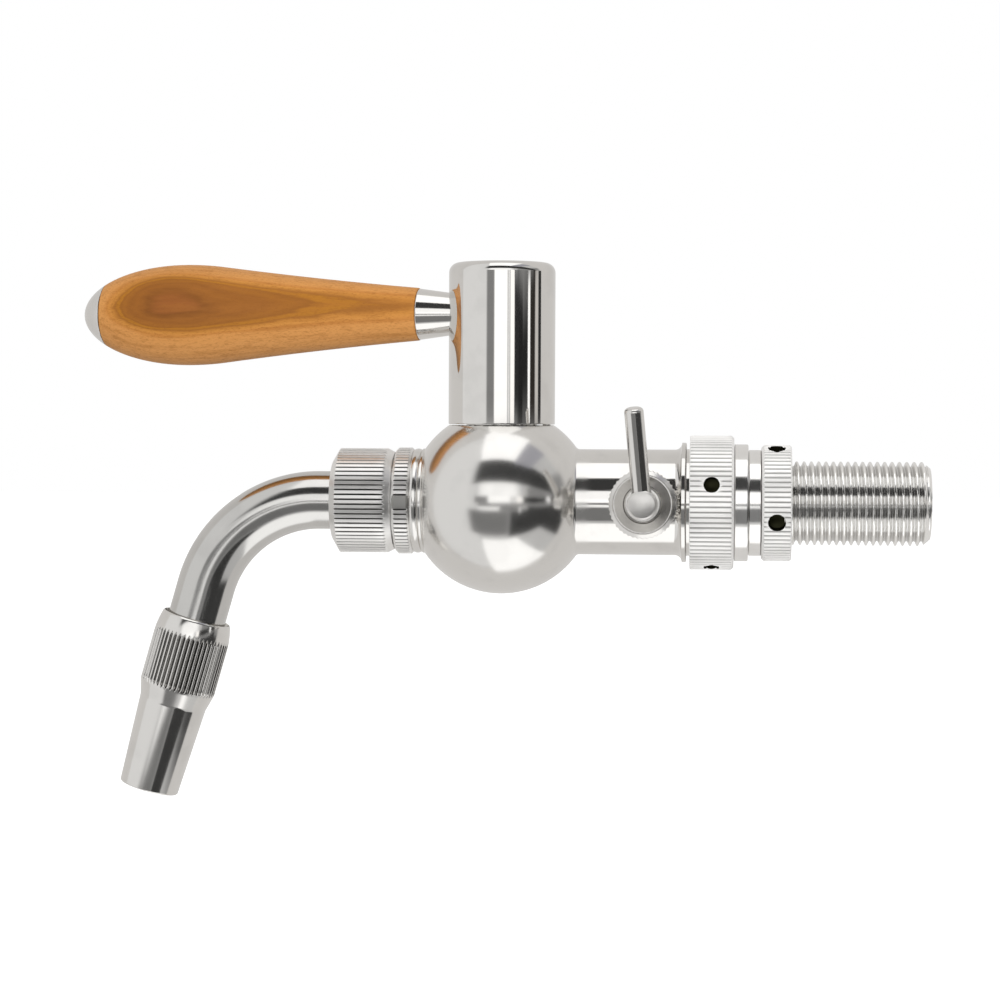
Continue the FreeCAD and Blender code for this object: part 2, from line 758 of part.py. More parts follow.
def nozzle():
    socket_r = spout_r + run_gap
    throat = nozzle_socket_len + nozzle_throat_len
    s_curve = (nozzle_cone_start - nozzle_waist_end) / 3
    blank = lathe([
        line((0, socket_r), (0, nozzle_rim_r - nozzle_rim_edge)),
        line((0, nozzle_rim_r - nozzle_rim_edge), (nozzle_rim_edge, nozzle_rim_r)),
        bezier((nozzle_rim_edge, nozzle_rim_r), (nozzle_swell, nozzle_waist_r), (nozzle_waist_start, nozzle_waist_r)),
        line((nozzle_waist_start, nozzle_waist_r), (nozzle_waist_end, nozzle_waist_r)),
        bezier((nozzle_waist_end, nozzle_waist_r), (nozzle_waist_end + s_curve, nozzle_waist_r),
               (nozzle_cone_start - s_curve, nozzle_cone_r), (nozzle_cone_start, nozzle_cone_r)),
        line((nozzle_cone_start, nozzle_cone_r), (nozzle_len - nozzle_end_edge, nozzle_end_r)),
        line((nozzle_len - nozzle_end_edge, nozzle_end_r), (nozzle_len, nozzle_end_r - nozzle_end_edge)),
        line((nozzle_len, nozzle_end_r - nozzle_end_edge), (nozzle_len, nozzle_bore_r)),
        line((nozzle_len, nozzle_bore_r), (throat, nozzle_bore_r)),
        line((throat, nozzle_bore_r), (nozzle_socket_len, foam_ring_inner_r())),
        line((nozzle_socket_len, foam_ring_inner_r()), (nozzle_socket_len, socket_r)),
        line((nozzle_socket_len, socket_r), (0, socket_r)),
    ])
    grooves = []
    for index in range(nozzle_groove_count):
        groove = nozzle_groove()
        groove.rotate(V(0, 0, 0), UP, index * 360.0 / nozzle_groove_count)
        grooves.append(groove)
    return seat(blank.cut(Part.makeCompound(grooves)), NOZZLE, spout_way)


def foam_ring_inner_r():
    return spout_r - foam_ring_w


def foam_disc():
    """Perforated disc that breaks the beer into foam, with holes in a close-packed pattern."""
    start = tube_in_nozzle + foam_disc_gap
    disc = rod(start, start + foam_disc_len, spout_r)
    reach = foam_ring_inner_r() - foam_hole_r
    rows = int(reach / foam_hole_step) + 1
    holes = []
    for row in range(-rows, rows + 1):
        for column in range(-2 * rows, 2 * rows + 1):
            x = foam_hole_step * (column + row / 2.0)
            y = foam_hole_step * row * math.sqrt(3) / 2
            if math.hypot(x, y) < reach:
                holes.append(Part.makeCylinder(foam_hole_r, foam_disc_len + 2 * overrun, V(x, y, start - overrun), UP))
    return seat(disc.cut(Part.makeCompound(holes)), NOZZLE, spout_way)


def foam_ring():
    start = tube_in_nozzle + foam_disc_gap + foam_disc_len
    return seat(ring(start, nozzle_socket_len, foam_ring_inner_r(), spout_r), NOZZLE, spout_way)


def flow_axis(shape):
    """Put a piece that was built up the Z axis on the flow lever's axis, its X axis upwards."""
    return seat(shape, V(flow_x, 0, 0), LEVER_SIDE, UP)


def flow_spindle_bush():
    flange_top = flow_boss_face + bush_flange_len
    bore_r = spindle_r + run_gap
    blank = turned([
        (bush_foot, bore_r), (bush_foot, bush_r), (flow_boss_face, bush_r), (flow_boss_face, bush_flange_r),
        (flange_top, bush_flange_r), (flange_top, bush_nose_r), (flange_top + bush_nose_len, bush_nose_r),
        (flange_top + bush_nose_len, bore_r),
    ])
    return flow_axis(blank.cut(o_ring_groove(bush_oring_at, bush_r + run_gap - seal_gap, oring_r)))


def flow_bush_o_ring():
    return flow_axis(o_ring(bush_oring_at, bush_r + run_gap - seal_gap, oring_r))


def flow_cap_nut():
    lip_back = flow_boss_face + bush_flange_len + face_gap
    lip_front = lip_back + cap_nut_lip_len
    room_r = flow_boss_r + run_gap
    lip_r = bush_nose_r + 2 * run_gap
    rim_inner = cap_nut_rim_r - cap_nut_rim_w
    blank = turned([
        (cap_nut_back, room_r), (cap_nut_back, cap_nut_r - cap_nut_rim_w), (cap_nut_back + cap_nut_rim_w, cap_nut_r),
        (cap_nut_front - cap_nut_edge, cap_nut_r), (cap_nut_front, cap_nut_rim_r), (cap_nut_front, rim_inner),
        (lip_front, lip_r), (lip_back, lip_r), (lip_back, room_r),
    ])
    knurl = knurl_prism(cap_nut_back - overrun, cap_nut_front + overrun, cap_nut_r, rear_knurl_depth, cap_nut_teeth, 0)
    return flow_axis(blank.common(knurl))


def flow_spindle():
    disc_r = bush_r
    disc_top = bush_foot - face_gap
    tip_end = lever_head_foot + spindle_tip_len
    shaft = turned([
        (spindle_disc_foot, 0), (spindle_disc_foot, disc_r), (disc_top, disc_r), (disc_top, spindle_r),
        (lever_head_foot, spindle_r), (lever_head_foot, spindle_tip_r), (tip_end, spindle_tip_r), (tip_end, 0),
    ])
    pin = rod(spindle_disc_foot - crank_pin_len, spindle_disc_foot, crank_pin_r)
    pin.translate(V(crank_throw, 0, 0))
    groove = o_ring_groove(spindle_oring_at, bush_r + run_gap - seal_gap, oring_r)
    return flow_axis(shaft.fuse(pin).cut(groove))


def flow_spindle_o_ring():
    return flow_axis(o_ring(spindle_oring_at, bush_r + run_gap - seal_gap, oring_r))


def lever_rod_frame():
    """Foot point and direction of the lever rod, in the flow axis frame (X up, Z outwards)."""
    tilt = math.radians(lever_rod_tilt)
    lean = math.radians(lever_rod_lean)
    return V(0, 0, lever_head_foot + lever_rod_seat), V(math.cos(tilt) * math.cos(lean),
                                                         math.sin(tilt) * math.cos(lean), math.sin(lean))


def flow_lever_head():
    top = lever_head_foot + lever_head_len
    bore_r = spindle_tip_r + press_gap
    bore_top = lever_head_foot + spindle_tip_len + press_gap
    rim_r = lever_head_r - lever_head_edge
    blank = lathe([
        line((lever_head_foot, bore_r), (lever_head_foot, lever_head_r)),
        line((lever_head_foot, lever_head_r), (top - lever_head_edge, lever_head_r)),
        line((top - lever_head_edge, lever_head_r), (top, rim_r)),
        bezier((top, rim_r), (top + lever_head_dome, rim_r / 2), (top + lever_head_dome, 0)),
        line((top + lever_head_dome, 0), (bore_top, 0)),
        line((bore_top, 0), (bore_top, bore_r)),
        line((bore_top, bore_r), (lever_head_foot, bore_r)),
    ])
    base, way = lever_rod_frame()
    hole = Part.makeCylinder(lever_rod_r + press_gap, lever_rod_len, base + way * lever_rod_foot, way)
    return flow_axis(blank.cut(hole))


def flow_lever_rod():
    base, way = lever_rod_frame()
    shoulder = lever_rod_len - lever_rod_edge
    mid = lever_rod_edge * quarter_inset
    bar = lathe([
        line((lever_rod_foot, 0), (lever_rod_foot, lever_rod_r)),
        line((lever_rod_foot, lever_rod_r), (shoulder, lever_rod_r)),
        arc((shoulder, lever_rod_r), (lever_rod_len - mid, lever_rod_r - mid),
            (lever_rod_len, lever_rod_r - lever_rod_edge)),
        line((lever_rod_len, lever_rod_r - lever_rod_edge), (lever_rod_len, 0)),
        line((lever_rod_len, 0), (lever_rod_foot, 0)),
    ])
    return flow_axis(seat(bar, base, way, V(0, 0, 1).cross(way).normalize()))


def flow_cone():
    slope = (rear_bore_r - cone_seat_r) / (cone_seat_end - cone_seat_start)
    cone_nose = cone_seat_start + cone_nose_lead
    cone_back = cone_seat_end - cone_back_lead
    carrier_end = flow_from_ball + carrier_past_flow
    fin_start = flow_from_ball - fin_lead
    fin_len = carrier_end - fin_start
    nose_r = cone_seat_r + slope * (cone_nose - cone_seat_start) - cone_gap
    back_r = cone_seat_r + slope * (cone_back - cone_seat_start) - cone_gap
    core = turned([
        (cone_nose, 0), (cone_nose, nose_r), (cone_back, back_r), (cone_back, carrier_r), (carrier_end, carrier_r),
        (carrier_end, 0),
    ])
    guide = rod(fin_start, carrier_end, rear_bore_r - fin_slack)
    side_fin = Part.makeBox(rear_bore_r, fin_w, fin_len, V(-rear_bore_r, -fin_w / 2, fin_start))
    cross_fin = Part.makeBox(fin_w, 2 * rear_bore_r, fin_len, V(-fin_w / 2, -rear_bore_r, fin_start))
    fins = side_fin.fuse(cross_fin).common(guide)
    yoke_foot = V(0, -yoke_half_w, flow_from_ball - yoke_lead)
    yoke = Part.makeBox(yoke_face, 2 * yoke_half_w, yoke_lead + yoke_past_flow, yoke_foot)
    slot_w = 2 * (crank_pin_r + yoke_slack)
    slot = Part.makeBox(yoke_face, 4 * yoke_half_w, slot_w, V(yoke_floor, -2 * yoke_half_w, flow_from_ball - slot_w / 2))
    return seat(core.fuse([fins, yoke]).cut(slot).removeSplitter(), BALL, REAR)


def coupling_nut():
    front = coupling_nut_front
    back = collar_front - face_gap
    room_r = tail_thread_r + run_gap
    lip_r = shank_neck_r + coupling_lip_slack
    blank = turned([
        (front, room_r), (front, coupling_nut_r - coupling_nut_front_edge),
        (front + coupling_nut_front_edge, coupling_nut_r), (back - coupling_nut_back_edge, coupling_nut_r),
        (back, coupling_nut_r - coupling_nut_back_edge), (back, lip_r), (coupling_lip_front, lip_r),
        (coupling_lip_front, room_r),
    ])
    knurl = knurl_prism(front - overrun, back + overrun, coupling_nut_r, rear_knurl_depth, coupling_nut_teeth, 0)
    holes = radial_holes((front + back) / 2, coupling_nut_r, coupling_nut_hole_r, coupling_nut_r - tail_thread_r,
                         spanner_holes, coupling_nut_hole_turn, pointed=False)
    return seat(blank.common(knurl).cut(holes), V(0, 0, 0), REAR)


def lock_nut():
    front = lock_nut_front
    blank = turned([
        (front, thread_r + run_gap), (front, lock_nut_r - lock_nut_front_edge),
        (front + lock_nut_front_edge, lock_nut_r), (-lock_nut_back_edge, lock_nut_r),
        (0, lock_nut_r - lock_nut_back_edge), (0, thread_r + run_gap),
    ])
    knurl = knurl_prism(front - overrun, overrun, lock_nut_r, rear_knurl_depth, lock_nut_teeth, 0)
    holes = radial_holes(front / 2, lock_nut_r, lock_nut_hole_r, lock_nut_hole_depth, spanner_holes,
                         lock_nut_hole_turn, pointed=True)
    return seat(blank.common(knurl).cut(holes), V(0, 0, 0), REAR)


def wall_washer():
    washer = ring(washer_front + face_gap, lock_nut_front - face_gap, thread_r + washer_slack, washer_r)
    return seat(washer, V(0, 0, 0), REAR)


def shank_collar():
    return seat(ring(collar_front, washer_front, thread_r + press_gap, collar_r), V(0, 0, 0), REAR)


def shank_gasket():
    gasket = ring(shank_gasket_front, shank_flange_front, shank_gasket_bore_r, shank_flange_r)
    return seat(gasket, V(0, 0, 0), REAR)


def shank():
    bevel_start = thread_free_len - thread_end_bevel
    blank = turned([
        (shank_flange_front, shank_bore_r), (shank_flange_front, shank_flange_r), (shank_flange_back, shank_flange_r),
        (shank_flange_back, shank_neck_r), (collar_front, shank_neck_r), (collar_front, thread_r),
        (-thread_undercut_len, thread_r), (-thread_undercut_len, thread_undercut_r), (0, thread_undercut_r),
        (0, thread_r), (bevel_start, thread_r), (thread_free_len, thread_end_r), (thread_free_len, tail_seat_r),
        (thread_free_len - tail_seat_len, shank_bore_r),
    ])
    return seat(blank, V(0, 0, 0), REAR)


def pieces():
    """Every piece of the faucet by its name."""
    return {
        "valve_body": valve_body(),
        "front_ball_seat": ball_seat(FRONT),
        "rear_ball_seat": ball_seat(REAR),
        "front_insert": front_insert(),
        "insert_o_ring": insert_o_ring(),
        "stem_thrust_washer": stem_thrust_washer(),
        "stem_upper_washer": stem_upper_washer(),
        "stem_gland_nut": stem_gland_nut(),
        "stop_pin": stop_pin(),
        "spout_gasket": spout_gasket(),
        "flow_spindle_bush": flow_spindle_bush(),
        "flow_bush_o_ring": flow_bush_o_ring(),
        "flow_cap_nut": flow_cap_nut(),
        "shank": shank(),
        "shank_gasket": shank_gasket(),
        "shank_collar": shank_collar(),
        "ball": ball(),
        "stem": stem(),
        "stem_lower_o_ring": stem_lower_o_ring(),
        "stem_upper_o_ring": stem_upper_o_ring(),
        "hub": hub(),
        "handle_stud": handle_stud(),
        "ferrule": ferrule(),
        "wood_grip": wood_grip(),
        "end_cap": end_cap(),
        "flow_spindle": flow_spindle(),
        "flow_spindle_o_ring": flow_spindle_o_ring(),
        "flow_lever_head": flow_lever_head(),
        "flow_lever_rod": flow_lever_rod(),
        "flow_cone": flow_cone(),
        "spout_nut": spout_nut(),
        "spout_tube": spout_tube(),
        "nozzle_o_ring": nozzle_o_ring(),
        "nozzle": nozzle(),
        "foam_disc": foam_disc(),
        "foam_ring": foam_ring(),
        "coupling_nut": coupling_nut(),
        "wall_washer": wall_washer(),
        "lock_nut": lock_nut(),
    }


def main():
    os.makedirs("parts", exist_ok=True)
    for name, shape in pieces().items():
        shape.exportStep("parts/" + name + ".step")
        box = shape.BoundBox
        print(name, "solids", len(shape.Solids), "valid", shape.isValid(), "volume", round(shape.Volume, 1),
              "x", round(box.XMin, 2), round(box.XMax, 2))


main()
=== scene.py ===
# %% [markdown]
# # Beer faucet
# The faucet hangs from a wall by its threaded shank. Beer comes in through the shank, passes a cone that sets the
# flow, crosses a ball valve in the globe and leaves through the bent spout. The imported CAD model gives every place
# and size. Here each visible piece gets a finer mesh with true edges and teeth, and a finish that bears a close look.

import json
import math

import bmesh
import bpy
import numpy as np
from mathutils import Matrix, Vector


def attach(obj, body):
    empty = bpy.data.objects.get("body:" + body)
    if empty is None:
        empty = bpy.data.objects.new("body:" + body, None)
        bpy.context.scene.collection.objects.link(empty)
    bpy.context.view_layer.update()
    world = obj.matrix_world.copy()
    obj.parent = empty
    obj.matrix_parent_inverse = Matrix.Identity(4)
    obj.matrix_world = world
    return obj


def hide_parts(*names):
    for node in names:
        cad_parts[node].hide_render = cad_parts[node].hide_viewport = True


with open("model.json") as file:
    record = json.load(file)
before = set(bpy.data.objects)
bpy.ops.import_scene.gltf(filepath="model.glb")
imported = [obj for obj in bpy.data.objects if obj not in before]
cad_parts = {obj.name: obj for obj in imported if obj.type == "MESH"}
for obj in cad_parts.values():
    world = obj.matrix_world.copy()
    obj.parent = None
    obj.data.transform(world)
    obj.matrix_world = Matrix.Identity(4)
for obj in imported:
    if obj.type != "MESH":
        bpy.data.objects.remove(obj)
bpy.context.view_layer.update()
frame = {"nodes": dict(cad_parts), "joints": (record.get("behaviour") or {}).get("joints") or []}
joints = {joint["name"]: joint for joint in frame["joints"]}

# %% [markdown]
# ## Spindles
# Nearly every piece of a faucet comes off a lathe, so nearly every piece has a line that it was turned about. A
# `Spindle` is that line. It turns a station, a radius and an angle, in millimetres, into a place in the scene, and it
# measures how far a CAD node reaches along and off the line. The places of the lines come from the joints.

# %% Spindle lines
MM = 0.001


class Spindle:
    """A line that pieces are turned about, with the side on which angles start."""

    def __init__(self, foot, way, side):
        self.foot = Vector(foot)
        self.way = Vector(way).normalized()
        side = Vector(side)
        self.side = (side - self.way * side.dot(self.way)).normalized()
        self.cross = self.way.cross(self.side)

    def axes(self):
        """Foot, way, side and cross, as node sockets take them."""
        return [tuple(part) for part in (self.foot, self.way, self.side, self.cross)]

    def point(self, station, radius=0.0, angle=0.0):
        off = self.side * math.cos(angle) + self.cross * math.sin(angle)
        return self.foot + (self.way * station + off * radius) * MM

    def measure(self, node):
        """First station, last station and largest radius of a CAD node."""
        corners = np.array([v.co - self.foot for v in frame["nodes"][node].data.vertices]) / MM
        along = corners @ np.array(self.way)
        off = corners - np.outer(along, np.array(self.way))
        return along.min(), along.max(), np.linalg.norm(off, axis=1).max()


handle_joint = joints["handle_turn"]
nozzle_joint = joints["nozzle_turn"]
ball_x = handle_joint["pos_m"][0]
lever_x = joints["flow_lever_turn"]["pos_m"][0]

# At rest the handle stands short of square by what is left of its joint's range.
handle_rest = math.radians(max(handle_joint["range_deg"]))
handle_way = (-math.cos(handle_rest), math.sin(handle_rest), 0)

SHANK = Spindle((0, 0, 0), (1, 0, 0), (0, -1, 0))
BALL = Spindle((ball_x, 0, 0), (1, 0, 0), (0, -1, 0))
FRONT = Spindle((ball_x, 0, 0), (-1, 0, 0), (0, -1, 0))
STEM = Spindle((ball_x, 0, 0), (0, 0, 1), (1, 0, 0))
HANDLE = Spindle(handle_joint["pos_m"], handle_way, (0, 0, 1))
LEVER = Spindle((lever_x, 0, 0), (0, -1, 0), (0, 0, 1))
NOZZLE = Spindle(nozzle_joint["pos_m"], nozzle_joint["axis"], (0, -1, 0))
for spindle, node in ((STEM, "hub"), (HANDLE, "wood_grip"), (NOZZLE, "nozzle")):
    print(node, [round(value, 2) for value in spindle.measure(node)])

# %% [markdown]
# ## The lathe
# A turned piece is an outline that goes round a spindle. Two details make polished metal look right. Real edges are
# never sharp, so every corner of an outline gets a small radius. And a mirror shows the slightest lean of a face, so
# a guard ring stands next to each rounding and keeps it from spreading into the flat beside it. A Screw and a Bevel
# modifier could do much of this, but an outline in numbers keeps every edge under control.

# %% Outlines
EDGE_R = 0.15
GUARD = 0.06
MOST_OF_SIDE = 0.4
ALMOST_STRAIGHT = math.radians(10)


def run(a, b, count):
    """Points on the straight from a to b, b left out."""
    return [(a[0] + (b[0] - a[0]) * i / count, a[1] + (b[1] - a[1]) * i / count) for i in range(count)]


def stepped(start, *steps):
    """Points of a bar with steps, each given as its radius and the station where it ends."""
    points = []
    for radius, end in steps:
        points += [(start, radius), (end, radius)]
        start = end
    return points


def arc(centre, radius, start_deg, end_deg, step_deg=6):
    """Points of an arc, as (station, radius) pairs."""
    steps = math.ceil(abs(end_deg - start_deg) / step_deg)
    turns = [math.radians(start_deg + (end_deg - start_deg) * i / steps) for i in range(steps + 1)]
    return [(centre[0] + radius * math.cos(t), centre[1] + radius * math.sin(t)) for t in turns]


def bezier(*poles, steps=12):
    """Points of a Bezier curve over three or four poles."""
    order = len(poles) - 1
    curve = []
    for i in range(steps + 1):
        t = i / steps
        weights = [math.comb(order, k) * t ** k * (1 - t) ** (order - k) for k in range(order + 1)]
        curve.append(tuple(sum(w * pole[k] for w, pole in zip(weights, poles)) for k in (0, 1)))
    return curve


def rounded(points, steps=3):
    """Closed outline with its corners rounded. A third number on a point is that corner's own radius."""
    result = []
    for index, point in enumerate(points):
        corner = Vector(point[:2])
        back = Vector(points[index - 1][:2]) - corner
        ahead = Vector(points[(index + 1) % len(points)][:2]) - corner
        bend = math.pi - back.angle(ahead)
        radius = point[2] if len(point) > 2 else EDGE_R
        if bend < ALMOST_STRAIGHT or radius == 0 or corner.y < GUARD:
            result.append(tuple(corner))
            continue
        cut = min(radius * math.tan(bend / 2), MOST_OF_SIDE * back.length, MOST_OF_SIDE * ahead.length)
        start = corner + back.normalized() * cut
        end = corner + ahead.normalized() * cut
        if back.length > 2 * (cut + GUARD):
            result.append(tuple(corner + back.normalized() * (cut + GUARD)))
        for i in range(steps + 1):
            t = i / steps
            result.append(tuple(start * (1 - t) ** 2 + corner * 2 * t * (1 - t) + end * t ** 2))
        if ahead.length > 2 * (cut + GUARD):
            result.append(tuple(corner + ahead.normalized() * (cut + GUARD)))
    return result


# %% Meshes
CREASE = math.radians(38)
ROUND = 160
FINE_ROUND = 192


def smooth(mesh):
    """Shade a mesh smooth except across its creases."""
    mesh.shade_smooth()
    mesh.set_sharp_from_angle(angle=CREASE)


def put(name, data):
    """Put new data into the scene as an object."""
    if name in bpy.data.objects:
        raise ValueError("two objects are called " + name)
    holder = bpy.data.objects.new(name, data)
    bpy.context.scene.collection.objects.link(holder)
    return holder


def object_from(shell, name, material=None):
    """Close a bmesh into a new object with its faces pointing outwards."""
    bmesh.ops.recalc_face_normals(shell, faces=shell.faces)
    mesh = bpy.data.meshes.new(name)
    shell.to_mesh(mesh)
    shell.free()
    smooth(mesh)
    if material is not None:
        mesh.materials.append(material)
    return put(name, mesh)


def skin(name, rings, closed, material=None):
    """Skin over rings of places; a ring of one place is a pole."""
    shell = bmesh.new()
    loops = [[shell.verts.new(place) for place in ring] for ring in rings]
    count = max(len(loop) for loop in loops)
    for a, b in zip(loops, loops[1:] + loops[:1] if closed else loops[1:]):
        for i in range(count):
            j = (i + 1) % count
            corners = dict.fromkeys((a[i % len(a)], a[j % len(a)], b[j % len(b)], b[i % len(b)]))
            if len(corners) > 2:
                shell.faces.new(corners)
    return object_from(shell, name, material)


def even(count=ROUND):
    """Angles of a plain round piece."""
    return [math.tau * i / count for i in range(count)]


def toothed(teeth, phases):
    """Angles of a piece with teeth, given as shares of one tooth's pitch."""
    return [math.tau * (tooth + phase) / teeth for tooth in range(teeth) for phase in phases]


def lathe(name, spindle, outline, material=None, angles=None):
    """Turn an outline about a spindle. An outline that starts and ends on the line has poles there."""
    angles = angles or even()
    rings = []
    for station, radius in outline:
        on_line = radius < 1e-6
        rings.append([spindle.point(station, radius, angle) for angle in (angles[:1] if on_line else angles)])
    poles = len(rings[0]) == 1 and len(rings[-1]) == 1
    return skin(name, rings, closed=not poles, material=material)


def plug(name, spindle, start, *steps, count=ROUND, eased=False):
    """Solid bar with steps and, where eased, with rounded edges. Most are cutters."""
    outline = [(start, 0)] + stepped(start, *steps) + [(steps[-1][1], 0)]
    return lathe(name, spindle, rounded(outline) if eased else outline, angles=even(count))


# %% [markdown]
# ## Cutting and joining
# What a lathe can't make is cut with Booleans, and the frame takes only plain meshes. Then each piece's modifiers
# are evaluated and the result replaces its mesh, and the frame is told which body it rides on and which CAD node it
# stands for.

# %% Modifiers into mesh


def bake(piece):
    """Turn a piece's modifiers into plain mesh."""
    view = bpy.context.evaluated_depsgraph_get()
    blank = piece.data
    mesh = bpy.data.meshes.new_from_object(piece.evaluated_get(view))
    piece.modifiers.clear()
    piece.data = mesh
    bpy.data.meshes.remove(blank)
    mesh.name = piece.name
    smooth(mesh)


def carve(piece, operation, *tools):
    """Cut tools out of a piece (DIFFERENCE) or join them to it (UNION)."""
    for tool in tools:
        step = piece.modifiers.new(tool.name, "BOOLEAN")
        step.operation = operation
        step.object = tool
        step.material_mode = "TRANSFER" if tool.data.materials else "INDEX"
        step.solver = "EXACT"
    bake(piece)
    for tool in tools:
        bpy.data.objects.remove(tool)


def present(piece, body, node):
    """Tell the frame what a finished piece is."""
    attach(piece, body)
    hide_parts(node)
    print(piece.name, "stands for", node, "with", len(piece.data.polygons), "faces")


# %% [markdown]
# ## Node trees as sums
# Shaders and Geometry Nodes are both trees of small nodes. Written out one node at a time they hide what they do, so
# a `Value` wraps a socket, and `+`, `-`, `*` and `/` on it add the Math nodes. Every other node comes from
# `Tree.add`, which first applies the node's settings and then fills or links its sockets.

# %% Values and trees


class Value:
    """A socket that can be reckoned with."""

    def __init__(self, tree, socket):
        self.tree = tree
        self.socket = socket

    def __add__(self, other):
        return self.tree.math("ADD", self, other)

    def __sub__(self, other):
        return self.tree.math("SUBTRACT", self, other)

    def __rsub__(self, other):
        return self.tree.math("SUBTRACT", other, self)

    def __mul__(self, other):
        return self.tree.math("MULTIPLY", self, other)

    def __truediv__(self, other):
        return self.tree.math("DIVIDE", self, other)

    __radd__ = __add__
    __rmul__ = __mul__

    def fit(self, low, high, to_low=0.0, to_high=1.0, kind="SMOOTHSTEP"):
        """Map one range onto another, softly or in a straight line."""
        values = {"Value": self, "From Min": low, "From Max": high, "To Min": to_low, "To Max": to_high}
        return self.tree.add("ShaderNodeMapRange", values, {"interpolation_type": kind}, "Result")


class Tree:
    """A node tree that is filled by expressions."""

    def __init__(self, nodes_of):
        self.tree = nodes_of
        self.tree.nodes.clear()

    def add(self, kind, values=None, settings=None, out=0):
        """Add a node: its settings, then the values or links of its sockets."""
        node = self.tree.nodes.new(kind)
        for name, setting in (settings or {}).items():
            if name == "stops":
                self.set_stops(node.color_ramp, setting)
            else:
                setattr(node, name, setting)
        for key, value in (values or {}).items():
            if isinstance(value, Value):
                self.tree.links.new(value.socket, node.inputs[key])
            else:
                node.inputs[key].default_value = value
        return Value(self, node.outputs[out]) if node.outputs else None

    def set_stops(self, ramp, stops):
        """Give a colour ramp its stops."""
        while len(ramp.elements) < len(stops):
            ramp.elements.new(1.0)
        for element, (position, colour) in zip(ramp.elements, stops):
            element.position = position
            element.color = colour

    def math(self, operation, *values):
        return self.add("ShaderNodeMath", dict(enumerate(values)), {"operation": operation})

    def off_whole(self, value):
        """How far a value is from the nearest whole number."""
        return self.math("ABSOLUTE", value - self.math("ROUND", value))

    def vector(self, operation, *values, out="Vector"):
        return self.add("ShaderNodeVectorMath", dict(enumerate(values)), {"operation": operation}, out)

    def grow(self, vector, factor):
        """A vector made longer or shorter."""
        return self.add("ShaderNodeVectorMath", {0: vector, "Scale": factor}, {"operation": "SCALE"})

    def place_of(self, *parts):
        """A vector from its parts."""
        return self.add("ShaderNodeCombineXYZ", dict(enumerate(parts)))

    def blend(self, first, second, share):
        """Mix two colours."""
        return self.add("ShaderNodeMix", {0: share, 6: first, 7: second}, {"data_type": "RGBA"}, 2)

    def noise(self, place, scale, detail=2.0, roughness=0.5, kind="3D"):
        values = {"Vector": place, "Scale": scale, "Detail": detail, "Roughness": roughness}
        return self.add("ShaderNodeTexNoise", values, {"noise_dimensions": kind})

    def about(self, place, foot, way, side, cross):
        """Offset from a spindle's foot in millimetres, and its parts along the way, the side and the cross."""
        offset = self.grow(self.vector("SUBTRACT", place, foot), 1 / MM)
        return [offset] + [self.vector("DOT_PRODUCT", offset, axis, out="Value") for axis in (way, side, cross)]


class Finish(Tree):
    """The tree of a new material."""

    def __init__(self, name):
        self.material = bpy.data.materials.new(name)
        self.material.use_nodes = True
        super().__init__(self.material.node_tree)

    def place(self):
        return self.add("ShaderNodeTexCoord", out="Object")

    def done(self, shader):
        self.add("ShaderNodeOutputMaterial", {"Surface": shader})
        return self.material

    def principled(self, colour, rough, height, strength, reach, more=None):
        """End in a Principled shader; height is the relief of its bump and reach the bump's depth in millimetres."""
        bump = self.add("ShaderNodeBump", {"Strength": strength, "Distance": reach * MM, "Height": height})
        values = {"Base Color": colour, "Roughness": rough, "Normal": bump, **(more or {})}
        return self.done(self.add("ShaderNodeBsdfPrincipled", values))


def window(value, low, high, soft):
    """One between low and high, zero outside, with soft ends."""
    return (value - low).fit(-soft, soft) * (high - value).fit(-soft, soft)


# %% [markdown]
# ## Steel
# The whole faucet is stainless steel. The globe, hub, spout and lever are buffed to a mirror, which still shows a
# faint haze. The nuts, rings and the shank keep a finer or coarser turned surface. One function makes all of these
# finishes: what differs is how rough the metal is, how deep its turning marks are, and how much shade is painted
# into the bottom of its cuts. The marks follow the station and the radius of the piece's own spindle, as a tool
# leaves them, so they stay right on end faces too.

# %% Steel finishes
STEEL = (0.76, 0.745, 0.72, 1.0)
# Dark grey for the milled facet, darker than the steel: a painted stand-in for the darker reflection on the flat.
MILLED_PAINTED_DARK = (0.36, 0.355, 0.34, 1.0)
PALE = (0.88, 0.87, 0.85, 1.0)
# Near-black olive, painted into the spanner holes as the shade inside them.
HOLE_SHADE_OLIVE = (0.035, 0.035, 0.018, 1.0)
# Near black, painted into the bottom of knurl valleys, grooves and thread roots as their shade.
CUT_SHADE = (0.045, 0.043, 0.038, 1.0)
SPOUT_GREY = (0.63, 0.62, 0.60, 1.0)
WHITE_METAL = (0.94, 0.93, 0.91, 1.0)
HAZE_DULLS = 0.82
MARK_DEPTH = 0.02
POLISH_FADE = 1.5
HAZE_SCALE = 0.14
RING_SCALE = 7.0
PIT_SCALE = 4.0


